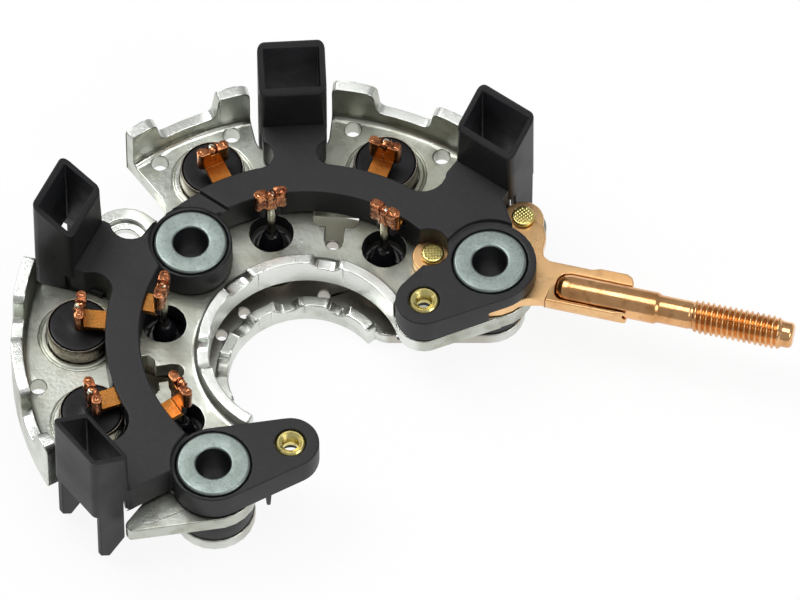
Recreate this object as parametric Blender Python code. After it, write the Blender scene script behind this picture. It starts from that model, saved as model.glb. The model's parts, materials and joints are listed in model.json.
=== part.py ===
# Alternator rectifier: two aluminium heat sinks stacked on three steel sleeves, eight press-fit
# diodes, four copper phase terminals, a moulded terminal block with four lead guides, and the
# copper output bar with its stud. Metres, +Z up. Plan places are measured from the shaft axis,
# heights from the upper faces of the sleeves; the last step stands the part on its lowest point.

import math

import bpy
import bmesh
from mathutils import Matrix, Vector
from mathutils.geometry import convex_hull_2d

MM = 0.001

# Fits
GAP = 0.3 * MM                 # between pieces that rest on, or sit in, each other
SKIN_FIT = 0.15 * MM           # diode case to its resin and to its heat sink

# Stack of heights, from the sleeve faces down
SLEEVE_PROUD = 0.3 * MM        # sleeve face above the bosses
BOSS_DEPTH = 5.8 * MM          # bosses and arms of the terminal block
BAND_RISE = 1.0 * MM           # band above the bosses
UPPER_THICK = 3.4 * MM         # plate of the upper heat sink
BUSH_HEIGHT = 4.5 * MM         # insulating bush between the heat sinks
LOWER_THICK = 2.6 * MM         # plate of the lower heat sink

# Mounting sleeves: plan places, then sizes
SLEEVE_PLACES = {"a": (-20.5 * MM, 19.3 * MM), "b": (32.6 * MM, 15.3 * MM), "c": (-16.1 * MM, -26.7 * MM)}
SLEEVE_FACE_R = 6.5 * MM
SLEEVE_FACE_THICK = 1.5 * MM
SLEEVE_SHANK_R = 4.6 * MM
SLEEVE_BORE_R = 3.1 * MM
SLEEVE_CHAMFER = 0.4 * MM
BUSH_R = {"a": 6.6 * MM, "b": 6.2 * MM, "c": 7.0 * MM}
BUSH_SPIGOT_WALL = 0.6 * MM
EAR_MARGIN = 0.3 * MM          # ears of the lower heat sink past the bushes

# Radial stack, from the shaft outwards
UPPER_BORE_R = 17.2 * MM
LOWER_DIODE_R = UPPER_BORE_R + 8.7 * MM    # pitch radius of the diodes in the lower heat sink
BAND_IN_R = LOWER_DIODE_R + 3.5 * MM       # clears the crimps of the lower diodes
BAND_OUT_R = BAND_IN_R + 6.1 * MM
UPPER_DIODE_R = BAND_OUT_R + 4.8 * MM      # pitch radius of the diodes in the upper heat sink
UPPER_FIELD_R = BAND_OUT_R + 1.5 * MM
UPPER_RIM_R = UPPER_DIODE_R + 11.9 * MM

# Diodes: angles round the shaft axis in degrees, phase by phase
UPPER_DIODE_ANGLES = (114.7, 69.5, 174.9, 200.7)
LOWER_DIODE_ANGLES = (104.0, 57.6, 166.3, 212.9)
CASE_R = 5.8 * MM
CASE_STANDS = 3.6 * MM         # case above its heat sink
CASE_WALL = 0.35 * MM
CASE_LIP = 0.2 * MM            # rim of the cup, turned in
CASE_LIP_DEPTH = 0.6 * MM
CASE_CUP = 2.2 * MM            # depth of the cup that holds the resin
CASE_CHAMFER = 0.5 * MM
STAKE_R = 6.9 * MM             # ring of metal staked round each case
STAKE_DEPTH = 0.35 * MM
STAKE_WIDTH = 0.45 * MM
PIN_R = 0.75 * MM
PIN_SEAT = 1.5 * MM            # pin inside its resin
UPPER_PIN_PROUD = 0.2 * MM     # pin above its crimp
CONE_BASE_R = 3.3 * MM         # resin cone round the pins that pass the upper heat sink
CONE_TOP_R = 1.3 * MM
CONE_HEIGHT = 5.2 * MM
PIN_HOLE_R = 3.9 * MM          # clearance hole in the upper heat sink

# Upper heat sink
UPPER_RING_SPAN = (17.0, 238.0)
UPPER_WINGS = (54.5, 209.5)    # first and last edge of the outer wings
WING_GAPS = ((84.8, 101.8, UPPER_RIM_R - 9.2 * MM, 2.5 * MM),
             (128.0, 163.0, UPPER_RIM_R - 14.2 * MM, 4.0 * MM))
WEB_STEP = 0.05 * MM           # ears stop this much short of the plate's faces
ROOT_ROUND = 1.2 * MM          # between a plate and its walls
RIM_THICK = 2.1 * MM
RIM_TALL = 8.8 * MM            # tabs above the plate
RIM_LOW = 3.1 * MM             # rim between the tabs
RIM_NOTCHES = ((63.7, 76.0), (108.6, 121.8), (174.0, 181.5), (195.7, 204.6))
BORE_WALL_THICK = 2.0 * MM
BORE_WALL_TALL = 2.5 * MM
BORE_WALL_LOW = 0.8 * MM
BORE_NOTCHES = ((69.9, 87.4), (122.3, 141.9), (174.4, 195.5))
NOTCH_ROUND = 1.6 * MM
TAB_HOLE_R = 1.5 * MM
TAB_HOLE_PITCH_R = UPPER_RIM_R - 4.4 * MM
TAB_HOLE_ANGLES = (59.7, 80.1, 106.4, 123.4, 188.4)
SLOT_PLACES = ((LOWER_DIODE_R + 1.1 * MM, 79.1, 86.0),
               (LOWER_DIODE_R + 0.9 * MM, 189.5, 189.5))    # radius and angle of a T slot's step, its heading
SLOT_NECK_WIDTH = 3.2 * MM
SLOT_NECK_LENGTH = 4.9 * MM
SLOT_HEAD_WIDTH = 8.2 * MM
SLOT_HEAD_LENGTH = 4.0 * MM
SLOT_CHAMFER = 0.9 * MM
UPPER_EAR_R = {"b": 8.2 * MM, "c": 7.8 * MM}
LOBE_MARGIN = 0.5 * MM         # ear past the lobe of the output bar
CORNER_PLACE = (-30.2 * MM, -35.4 * MM)
CORNER_R = 1.3 * MM

# Lower heat sink
LOWER_BORE_R = UPPER_BORE_R - 3.3 * MM
LOWER_FIELD_R = LOWER_DIODE_R + 8.7 * MM
LOWER_SPAN = (38.0, 238.0)
LOWER_WALL_THICK = 2.1 * MM
LOWER_WALL_TALL = 2.0 * MM
LOWER_WALL_LOW = 0.5 * MM
LOWER_NOTCHES = ((59.0, 75.0), (94.0, 113.0), (130.0, 148.0), (165.0, 183.0), (202.0, 220.0))
LOWER_NOSE = (14.6 * MM, 12.4 * MM)
LOWER_NOSE_R = 3.6 * MM
LUG_PLACE = (-32.6 * MM, 29.2 * MM)
LUG_R = 6.7 * MM
LUG_HOLE_R = 2.9 * MM
LUG_SINK_R = 4.3 * MM
LUG_SINK_DEPTH = 1.2 * MM
VENT_HOLE_R = 1.1 * MM
VENT_HOLES = ((LOWER_BORE_R + 3.7 * MM, 80.0), (LOWER_BORE_R + 3.7 * MM, 129.0),
              (LOWER_BORE_R + 3.7 * MM, 149.0), (LOWER_DIODE_R + 2.2 * MM, 80.6))

# Terminal block
BAND_SPAN = (30.0, 228.5)
BAND_STEP = ((-11.5 * MM, 24.2 * MM), (-22.0 * MM, 31.8 * MM))    # line where the band steps down to boss a
BOSS_R = {"a": 7.4 * MM, "b": 8.3 * MM, "c": 7.5 * MM}
INSERT_PLACES = {"b": (20.9 * MM, 7.35 * MM), "c": (-2.6 * MM, -22.2 * MM)}
INSERT_BOSS_R = 5.1 * MM
INSERT_R = 2.65 * MM
INSERT_BORE_R = 1.7 * MM
INSERT_LENGTH = 3.4 * MM
INSERT_RELIEF_R = 2.3 * MM
GUIDE_PLACES = ((BAND_OUT_R + 7.4 * MM, 154.6, 153.4), (BAND_OUT_R + 8.1 * MM, 93.1, 93.4),
                (BAND_OUT_R + 9.9 * MM, 46.3, 54.4),
                (BAND_OUT_R + 8.3 * MM, 218.6, 218.5))    # radius and angle of the inner face, its heading
GUIDE_WIDTH = 12.1 * MM
GUIDE_DEPTH = 7.9 * MM
GUIDE_WALL = 1.1 * MM
GUIDE_RISE = 9.7 * MM          # inner edge of the mouth above the band
GUIDE_SLANT = 5.8 * MM         # outer edge of the mouth above the inner edge
GUIDE_DROP = 3.3 * MM          # foot of the guide below the band
LEG_WIDTH = 5.4 * MM
LEG_INSET = 0.9 * MM
LEG_POINT = 1.8 * MM
STEM_MARGIN = 0.4 * MM
STEM_ROOT = 3.0 * MM           # stem inside the band
STEM_SCOOPS = (((-4.9 * MM, 8.4 * MM, 3.8 * MM), (-4.6 * MM, -7.7 * MM, 3.7 * MM)),
               ((-5.9 * MM, 6.7 * MM, 2.8 * MM), (-6.0 * MM, -6.7 * MM, 2.8 * MM)),
               ((-5.4 * MM, 9.3 * MM, 4.3 * MM),),
               ((-4.5 * MM, -8.1 * MM, 4.7 * MM),))    # round cut-outs beside each stem, in its guide's frame
CORNER_TIP_R = 1.0 * MM        # end of the block beside the last guide
CORNER_ROOT_R = 3.0 * MM
SHOULDER_R = 3.2 * MM          # block between the third guide and boss b
SHOULDER_SET = (-4.3 * MM, -3.6 * MM)
SHOULDER_TUCK = 1.8 * MM

# Phase terminals
STRIP_WIDTH = 3.7 * MM
STRIP_THICK = 1.0 * MM
STRIP_COVER = 1.0 * MM         # band above the strips
CRIMP_WIDTH = 6.1 * MM
CRIMP_THICK = 1.9 * MM
CRIMP_SET_BACK = 0.3 * MM      # middle of the jaws behind the pin
CRIMP_DIP = 0.9 * MM           # notch between the tops of the jaws
CRIMP_DIP_WIDTH = 2.4 * MM
STRIP_STRAIGHT = 1.5 * MM      # straight run of a strip inside each edge of the band
UPPER_CRIMP_TOP = 4.4 * MM     # crimp above the strip
LOWER_CRIMP_TOP = 7.0 * MM
CRIMP_HEIGHT = 4.3 * MM
CRIMP_SLIT = 0.5 * MM          # between the folded jaws
RISER_INSET = 0.1 * MM

# Output bar and stud
BAR_THICK = 2.2 * MM
BAR_HEADING = -13.5            # stud axis in plan, degrees
BAR_RING_R = 8.0 * MM
BAR_BACK = 4.9 * MM            # back edge from the stud's axis
BAR_FRONT = 3.5 * MM           # front edge from the stud's axis
BAR_EAR = 0.5 * MM             # widening at the end of the back edge
BAR_EAR_LENGTH = 6.0 * MM
BAR_ROOT = 8.1 * MM            # edge beside the boss, from the sleeve's axis
BAR_FLARE = 3.4 * MM
BAR_LENGTH = 25.4 * MM         # from the sleeve's axis to the end of the trough
TROUGH_START = 11.6 * MM
TROUGH_WALL = 0.7 * MM
TROUGH_LIP = 1.3 * MM          # front wall above the stud's axis
TROUGH_CUT = 2.6 * MM          # slant at the end of the front wall
STUD_SINK = 0.7 * MM           # stud's axis below the bar's upper face
STUD_R = 2.85 * MM
STUD_NECK_R = 2.55 * MM
STUD_THREAD_R = 3.0 * MM
STUD_POINT_R = 2.35 * MM
STUD_STATIONS = (12.2 * MM, 30.6 * MM, 36.5 * MM, 53.0 * MM, 55.3 * MM)
RIVET_PLACES = ((38.6 * MM, 26.6 * MM), (22.5 * MM, 18.8 * MM))
RIVET_LOBE_R = 3.7 * MM
RIVET_HEAD_R = 2.05 * MM
RIVET_HEAD = 0.9 * MM
RIVET_RELIEFS = (((38.6 * MM, 26.6 * MM), 2.7 * MM), ((21.8 * MM, 18.1 * MM), 3.5 * MM))
RIVET_SHANK_R = 1.3 * MM
RIVET_REACH = 2.6 * MM         # shank below the bar

# Facets: degrees to a side on large and on small rounds
COARSE = 4.0
FINE = 15.0
BOSS_STEP = 10.0

# Heights that follow from the stack, from the sleeve faces down
BOSS_TOP = -SLEEVE_PROUD
BLOCK_FOOT = BOSS_TOP - BOSS_DEPTH
BAND_TOP = BOSS_TOP + BAND_RISE
UPPER_TOP = BLOCK_FOOT - GAP
UPPER_FOOT = UPPER_TOP - UPPER_THICK
BUSH_TOP = UPPER_FOOT - GAP
BUSH_FOOT = BUSH_TOP - BUSH_HEIGHT
LOWER_TOP = BUSH_FOOT - GAP
LOWER_FOOT = LOWER_TOP - LOWER_THICK
STRIP_TOP = BAND_TOP - STRIP_COVER
STRIP_FOOT = STRIP_TOP - STRIP_THICK
BAR_FOOT = UPPER_TOP + GAP
BAR_TOP = BAR_FOOT + BAR_THICK
THROUGH = 5.0 * MM             # how far a cutter passes the face it opens


# Plan outlines

def polar(radius, degrees, centre=(0.0, 0.0)):
    angle = math.radians(degrees)
    return (centre[0] + radius * math.cos(angle), centre[1] + radius * math.sin(angle))


def arc(centre, radius, start, end, step):
    count = max(2, int(math.ceil(abs(end - start) / step)))
    return [polar(radius, start + (end - start) * i / count, centre) for i in range(count + 1)]


def circle(centre, radius, step=FINE):
    return arc(centre, radius, 0.0, 360.0, step)[:-1]


def on_facets(radius, degrees, step=COARSE):
    """Point at an angle on the polygon that stands for a large circle round the shaft axis."""
    lean = math.radians(degrees % step - step / 2)
    return polar(radius * math.cos(math.radians(step / 2)) / math.cos(lean), degrees)


def ring_angles(low, high, step=COARSE):
    grid = [step * i for i in range(math.ceil(low / step), math.floor(high / step) + 1)]
    return [low, *[degrees for degrees in grid if low + 0.05 < degrees < high - 0.05], high]


def ring_arc(radius, start, end, step=COARSE):
    points = [on_facets(radius, degrees, step) for degrees in ring_angles(min(start, end), max(start, end), step)]
    return points if end > start else points[::-1]


def sector(inner, outer, start, end, step=COARSE):
    return ring_arc(outer, start, end, step) + ring_arc(inner, end, start, step)


def link(first, first_r, second, second_r, step=FINE):
    """Outline of a belt drawn tight round two circles."""
    points = [Vector(p) for p in circle(first, first_r, step) + circle(second, second_r, step)]
    return [tuple(points[i]) for i in convex_hull_2d(points)]


def ribbon(points, width):
    """Outline of a strip of constant width along a path of plan points."""
    left, right = [], []
    for i, point in enumerate(points):
        here = Vector(point)
        before = (here - Vector(points[i - 1])).normalized() if i else None
        after = (Vector(points[i + 1]) - here).normalized() if i + 1 < len(points) else None
        along = ((before or after) + (after or before)).normalized()
        side = Vector((-along.y, along.x))
        spread = width / 2 / max(0.5, side.dot(Vector((-(after or before).y, (after or before).x))))
        left.append(tuple(here + side * spread))
        right.append(tuple(here - side * spread))
    return right + left[::-1]


def rounded_slot(start, end, inner, corner):
    """Outline of a radial gap, open outwards, with its two inner corners rounded."""
    outer = UPPER_RIM_R + THROUGH
    turn = math.degrees(corner / inner)
    low = polar(inner + corner, start + turn)
    high = polar(inner + corner, end - turn)
    return ([polar(outer, start)]
            + arc(low, corner, start - 90, start - 180, FINE * 2)
            + arc((0, 0), inner, start + turn, end - turn, COARSE)[1:-1]
            + arc(high, corner, end + 180, end + 90, FINE * 2)
            + [polar(outer, end)])


# Solids

def new_object(name, mesh_builder):
    mesh = bpy.data.meshes.new(name)
    bm = bmesh.new()
    mesh_builder(bm)
    bmesh.ops.recalc_face_normals(bm, faces=bm.faces)
    bm.to_mesh(mesh)
    bm.free()
    obj = bpy.data.objects.new(name, mesh)
    bpy.context.collection.objects.link(obj)
    return obj


def prism(outline, foot, top, name="solid"):
    """A plan outline raised from one height to another."""
    def build(bm):
        low = [bm.verts.new((x, y, foot)) for x, y in outline]
        high = [bm.verts.new((x, y, top)) for x, y in outline]
        bm.faces.new(low[::-1])
        bm.faces.new(high)
        for i, vert in enumerate(low):
            bm.faces.new((vert, low[(i + 1) % len(low)], high[(i + 1) % len(low)], high[i]))
    return new_object(name, build)


def turned(profile, centre=(0.0, 0.0), step=FINE, name="solid"):
    """A profile of (radius, height) points turned round a vertical axis."""
    def build(bm):
        loop = [bm.verts.new((max(r, 0.0), 0, z)) for r, z in profile]
        edges = [bm.edges.new((a, b)) for a, b in zip(loop, loop[1:] + loop[:1])]
        bmesh.ops.spin(bm, geom=loop + edges, cent=(0, 0, 0), axis=(0, 0, 1),
                       angle=2 * math.pi, steps=int(round(360 / step)), use_merge=True)
        bmesh.ops.remove_doubles(bm, verts=bm.verts, dist=1e-6)
        bmesh.ops.dissolve_degenerate(bm, edges=bm.edges, dist=1e-7)
        bmesh.ops.translate(bm, verts=bm.verts, vec=(centre[0], centre[1], 0))
    return new_object(name, build)


def swept(profile, start, end, name="solid"):
    """A profile of (radius, height) points carried round the shaft axis from one angle to another."""
    def build(bm):
        rings = [[bm.verts.new((*on_facets(r, degrees), z)) for r, z in profile]
                 for degrees in ring_angles(start, end)]
        bm.faces.new(rings[0])
        bm.faces.new(rings[-1][::-1])
        for one, two in zip(rings, rings[1:]):
            for i in range(len(profile)):
                j = (i + 1) % len(profile)
                bm.faces.new((one[i], two[i], two[j], one[j]))
    return new_object(name, build)


def place(obj, matrix):
    """Moves the mesh itself, so that the object stays at the part's own origin."""
    obj.data.transform(matrix)
    return obj


def boolean(base, others, operation):
    for other in others:
        modifier = base.modifiers.new(operation.lower(), "BOOLEAN")
        modifier.operation = operation
        modifier.solver = "EXACT"
        modifier.object = other
        graph = bpy.context.evaluated_depsgraph_get()
        mesh = bpy.data.meshes.new_from_object(base.evaluated_get(graph))
        base.modifiers.clear()
        spent = base.data
        base.data = mesh
        bpy.data.meshes.remove(spent)
        bpy.data.objects.remove(other)
    return base


def join(base, *others):
    return boolean(base, others, "UNION")


def cut(base, *others):
    return boolean(base, others, "DIFFERENCE")


def upright_at(degrees, radius=0.0, centre=(0.0, 0.0)):
    """Frame whose X runs outwards at that heading, Y along the tangent and Z up."""
    x, y = polar(radius, degrees, centre)
    return Matrix.Translation((x, y, 0)) @ Matrix.Rotation(math.radians(degrees), 4, "Z")


def headed(radius, angle, heading):
    """Frame at a radius and angle round the shaft axis, whose X runs at a heading of its own."""
    return upright_at(heading, 0.0, polar(radius, angle))


def in_plan(frame, x, y):
    point = frame @ Vector((x, y, 0))
    return (point.x, point.y)


def side_prism(outline, matrix, inner, outer, name="solid"):
    """An outline in the tangent plane (across, height), raised outwards."""
    turn = Matrix(((0, 0, 1, 0), (1, 0, 0, 0), (0, 1, 0, 0), (0, 0, 0, 1)))
    return place(prism(outline, inner, outer, name), matrix @ turn)


def notch(start, end, radius, foot, top):
    """Cutter for a low stretch of a wall: rounded at its foot, flared at its top."""
    half = radius * math.radians(end - start) / 2
    bend = NOTCH_ROUND
    outline = ([(-half - bend * 0.6, top), (-half + bend * 0.2, foot + bend)]
               + arc((-half + bend * 1.2, foot + bend), bend, 180, 270, 30)
               + arc((half - bend * 1.2, foot + bend), bend, 270, 360, 30)
               + [(half + bend * 0.6, top)])
    return side_prism(outline, upright_at((start + end) / 2), radius - 4 * MM, radius + 4 * MM)


def flatten(body):
    """Merges the facets that Booleans leave on flat faces."""
    bm = bmesh.new()
    bm.from_mesh(body.data)
    bmesh.ops.dissolve_limit(bm, angle_limit=math.radians(0.2), verts=bm.verts, edges=bm.edges)
    bm.to_mesh(body.data)
    bm.free()
    return body


# Materials

def material(name, colour, roughness, metallic):
    mat = bpy.data.materials.new(name)
    mat.use_nodes = True
    shader = mat.node_tree.nodes["Principled BSDF"]
    shader.inputs["Base Color"].default_value = (*colour, 1.0)
    shader.inputs["Roughness"].default_value = roughness
    shader.inputs["Metallic"].default_value = metallic
    return mat


def finish(obj, name, mat, smooth=35.0):
    obj.name = name
    obj.data.name = name
    obj.data.materials.clear()
    obj.data.materials.append(mat)
    obj.data.shade_smooth()
    obj.data.set_sharp_from_angle(angle=math.radians(smooth))
    return obj


# Pieces

def diode_places(radius, angles):
    return [polar(radius, angle) for angle in angles]


def plate_section(bore_r, bore_thick, bore_top, rim_r, rim_thick, rim_top, foot, top):
    """Cross-section of a heat sink: a plate with a wall up from its bore and a wall up from its rim."""
    bore_root = (bore_r + bore_thick + ROOT_ROUND, top + ROOT_ROUND)
    rim_root = (rim_r - rim_thick - ROOT_ROUND, top + ROOT_ROUND)
    return ([(bore_r, foot), (rim_r, foot), (rim_r, rim_top), (rim_r - rim_thick, rim_top)]
            + arc(rim_root, ROOT_ROUND, 0, -90, 30)
            + arc(bore_root, ROOT_ROUND, 270, 180, 30)
            + [(bore_r + bore_thick, bore_top), (bore_r, bore_top)])


def upper_heat_sink():
    section = plate_section(UPPER_BORE_R, BORE_WALL_THICK, UPPER_TOP + BORE_WALL_TALL,
                            UPPER_RIM_R, RIM_THICK, UPPER_TOP + RIM_TALL, UPPER_FOOT, UPPER_TOP)
    body = swept(section, *UPPER_RING_SPAN)
    low, high = UPPER_FOOT - THROUGH, UPPER_TOP + RIM_TALL + THROUGH

    # Everything past the field goes, save for the wings; then the gaps between the wings
    beyond = UPPER_RIM_R + THROUGH
    cut(body, prism(sector(UPPER_FIELD_R, beyond, UPPER_RING_SPAN[0] - THROUGH / MM, UPPER_WINGS[0]), low, high),
        prism(sector(UPPER_FIELD_R, beyond, UPPER_WINGS[1], UPPER_RING_SPAN[1] + THROUGH / MM), low, high))
    cut(body, *[prism(rounded_slot(*gap), low, high) for gap in WING_GAPS])

    # Ears under the bosses and arms
    b, c = SLEEVE_PLACES["b"], SLEEVE_PLACES["c"]
    ear = UPPER_EAR_R
    belts = [(b, ear["b"], RIVET_PLACES[0], RIVET_LOBE_R + LOBE_MARGIN),
             (b, ear["b"] - WEB_STEP, INSERT_PLACES["b"], INSERT_BOSS_R),
             (c, ear["c"], CORNER_PLACE, CORNER_R)]
    for number, (one, one_r, other, other_r) in enumerate(belts, start=1):
        step = WEB_STEP * number
        cut(body, prism(link(one, one_r + EAR_MARGIN, other, other_r + EAR_MARGIN), UPPER_TOP - step / 2, high))
        join(body, prism(link(one, one_r, other, other_r), UPPER_FOOT + step, UPPER_TOP - step))

    # Rim and bore walls, castellated by notches
    middle = UPPER_RIM_R - RIM_THICK / 2
    cut(body, *[notch(*span, middle, UPPER_TOP + RIM_LOW, high) for span in RIM_NOTCHES])
    middle = UPPER_BORE_R + BORE_WALL_THICK / 2
    cut(body, *[notch(*span, middle, UPPER_TOP + BORE_WALL_LOW, high) for span in BORE_NOTCHES])

    # Holes: diode seats, pins from below, sleeves with their bushes, tabs, insert, T slots
    holes = [(p, CASE_R + SKIN_FIT) for p in diode_places(UPPER_DIODE_R, UPPER_DIODE_ANGLES)]
    holes += [(p, PIN_HOLE_R) for p in diode_places(LOWER_DIODE_R, LOWER_DIODE_ANGLES)]
    spigot = SLEEVE_SHANK_R + GAP + BUSH_SPIGOT_WALL + GAP
    holes += [(p, spigot) for p in SLEEVE_PLACES.values()]
    holes += [(polar(TAB_HOLE_PITCH_R, angle), TAB_HOLE_R) for angle in TAB_HOLE_ANGLES]
    holes += [(INSERT_PLACES["b"], INSERT_R + GAP)]
    holes += [(p, RIVET_SHANK_R + GAP) for p in RIVET_PLACES]
    cut(body, *[prism(circle(p, r), low, high) for p, r in holes])
    half, head, bevel = SLOT_NECK_WIDTH / 2, SLOT_HEAD_WIDTH / 2, SLOT_CHAMFER
    side = [(0, half), (0, head - bevel), (bevel, head), (SLOT_HEAD_LENGTH, head)]
    slot = ([(x, -y) for x, y in side] + side[::-1]
            + arc((half - SLOT_NECK_LENGTH, 0), half, 90, 270, 30))
    cut(body, *[place(prism(slot, low, high), headed(*spot)) for spot in SLOT_PLACES])

    # Staked rings round the upper diodes
    for spot in diode_places(UPPER_DIODE_R, UPPER_DIODE_ANGLES):
        groove = [(STAKE_R, UPPER_TOP - STAKE_DEPTH), (STAKE_R + STAKE_WIDTH, UPPER_TOP - STAKE_DEPTH),
                  (STAKE_R + STAKE_WIDTH, UPPER_TOP + THROUGH), (STAKE_R, UPPER_TOP + THROUGH)]
        cut(body, turned(groove, spot))
    return body


def lower_heat_sink():
    inner, wall_top = LOWER_BORE_R + LOWER_WALL_THICK, LOWER_TOP + LOWER_WALL_TALL
    section = ([(LOWER_BORE_R, LOWER_FOOT), (LOWER_FIELD_R, LOWER_FOOT), (LOWER_FIELD_R, LOWER_TOP)]
               + [(inner, LOWER_TOP), (inner, wall_top), (LOWER_BORE_R, wall_top)])
    body = swept(section, *LOWER_SPAN)
    ear = {key: BUSH_R[key] + EAR_MARGIN for key in BUSH_R}
    join(body, prism(link(SLEEVE_PLACES["b"], ear["b"], LOWER_NOSE, LOWER_NOSE_R), LOWER_FOOT, LOWER_TOP),
         prism(circle(SLEEVE_PLACES["c"], ear["c"]), LOWER_FOOT, LOWER_TOP),
         prism(link(polar(LOWER_FIELD_R - 1.5 * LUG_R, 138.2), 1.2 * LUG_R, LUG_PLACE, LUG_R), LOWER_FOOT, LOWER_TOP))
    middle = LOWER_BORE_R + LOWER_WALL_THICK / 2
    cut(body, *[notch(*span, middle, LOWER_TOP + LOWER_WALL_LOW, LOWER_TOP + LOWER_WALL_TALL + THROUGH)
                for span in LOWER_NOTCHES])
    low, high = LOWER_FOOT - THROUGH, LOWER_TOP + THROUGH
    holes = [(p, CASE_R + SKIN_FIT) for p in diode_places(LOWER_DIODE_R, LOWER_DIODE_ANGLES)]
    holes += [(p, SLEEVE_SHANK_R + GAP) for p in SLEEVE_PLACES.values()]
    holes += [(polar(*vent), VENT_HOLE_R) for vent in VENT_HOLES]
    holes += [(LUG_PLACE, LUG_HOLE_R)]
    cut(body, *[prism(circle(p, r), low, high) for p, r in holes])
    cut(body, prism(circle(LUG_PLACE, LUG_SINK_R), LOWER_TOP - LUG_SINK_DEPTH, high))
    return body


def diode_case(foot, top, centre):
    cup = top - CASE_CUP
    inner = CASE_R - CASE_WALL
    profile = [(0, foot), (CASE_R - CASE_CHAMFER, foot), (CASE_R, foot + CASE_CHAMFER),
               (CASE_R, top - CASE_LIP_DEPTH), (CASE_R - CASE_LIP, top), (inner, top), (inner, cup), (0, cup)]
    return turned(profile, centre)


def diode_resin(case_top, centre, cone):
    foot = case_top - CASE_CUP + GAP
    outer = CASE_R - CASE_WALL - SKIN_FIT
    bore = PIN_R + SKIN_FIT
    seat = case_top - PIN_SEAT
    profile = [(0, foot), (outer, foot), (outer, case_top)]
    if cone:
        profile += [(CONE_BASE_R, case_top), (CONE_TOP_R, case_top + CONE_HEIGHT), (bore, case_top + CONE_HEIGHT)]
    else:
        profile += [(bore, case_top)]
    profile += [(bore, seat), (0, seat)]
    return turned(profile, centre)


def diode_pin(case_top, tip, centre):
    foot = case_top - PIN_SEAT + GAP
    profile = [(0, foot), (PIN_R, foot), (PIN_R, tip - PIN_R / 2), (PIN_R / 2, tip), (0, tip)]
    return turned(profile, centre, step=30)


def crimp_outline():
    """Plan outline of the folded jaws round a pin: two lobes, and a slit on the side away from the strip."""
    lobe = CRIMP_THICK / 2
    centre = CRIMP_WIDTH / 2 - lobe
    back = -CRIMP_SET_BACK
    bore = PIN_R + SKIN_FIT
    slit = math.degrees(math.asin(CRIMP_SLIT / 2 / bore))
    return ([(back - lobe, -centre), (back - lobe, -CRIMP_SLIT), (back - lobe, centre)]
            + arc((back, centre), lobe, 180, -60, 30)[1:]
            + [(bore * 0.95, CRIMP_SLIT * 1.5)]
            + arc((0, 0), bore, slit, 360 - slit, 30)
            + [(bore * 0.95, -CRIMP_SLIT * 1.5)]
            + arc((back, -centre), lobe, 60, -180, 30)[:-1])


def strip_path(phase):
    """Plan points of a strip from the upper diode's crimp to the lower diode's crimp."""
    upper, lower = UPPER_DIODE_ANGLES[phase], LOWER_DIODE_ANGLES[phase]
    reach = (CRIMP_THICK - STRIP_THICK) / 2 + CRIMP_SET_BACK
    return [polar(UPPER_DIODE_R - reach, upper), polar(BAND_OUT_R - STRIP_STRAIGHT, upper),
            polar(BAND_IN_R + STRIP_STRAIGHT, lower), polar(LOWER_DIODE_R + reach, lower)]


def phase_terminal(phase):
    body = prism(ribbon(strip_path(phase), STRIP_WIDTH), STRIP_FOOT, STRIP_TOP)
    ends = ((UPPER_DIODE_ANGLES[phase], UPPER_DIODE_R, UPPER_CRIMP_TOP, 0),
            (LOWER_DIODE_ANGLES[phase], LOWER_DIODE_R, LOWER_CRIMP_TOP, 180))
    for angle, radius, crimp_top, turn in ends:
        frame = upright_at(angle, radius) @ Matrix.Rotation(math.radians(turn), 4, "Z")
        back = -CRIMP_THICK / 2 - CRIMP_SET_BACK + RISER_INSET
        half = STRIP_WIDTH / 2 - RISER_INSET
        top = STRIP_TOP + crimp_top
        riser = [(back, -half), (back + STRIP_THICK, -half), (back + STRIP_THICK, half), (back, half)]
        join(body, place(prism(riser, STRIP_FOOT + RISER_INSET, top - CRIMP_HEIGHT / 2), frame),
             place(prism(crimp_outline(), top - CRIMP_HEIGHT, top), frame))
        wide, floor = CRIMP_DIP_WIDTH / 2, top - CRIMP_DIP
        dip = [(-wide / 2, floor), (wide / 2, floor), (wide, top + THROUGH), (-wide, top + THROUGH)]
        cut(body, side_prism(dip, frame, -CRIMP_THICK - CRIMP_SET_BACK, CRIMP_THICK))
        pin = prism(circle(polar(radius, angle), PIN_R + SKIN_FIT, 30), STRIP_FOOT - THROUGH, top + THROUGH)
        cut(body, pin)
    return body


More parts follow.
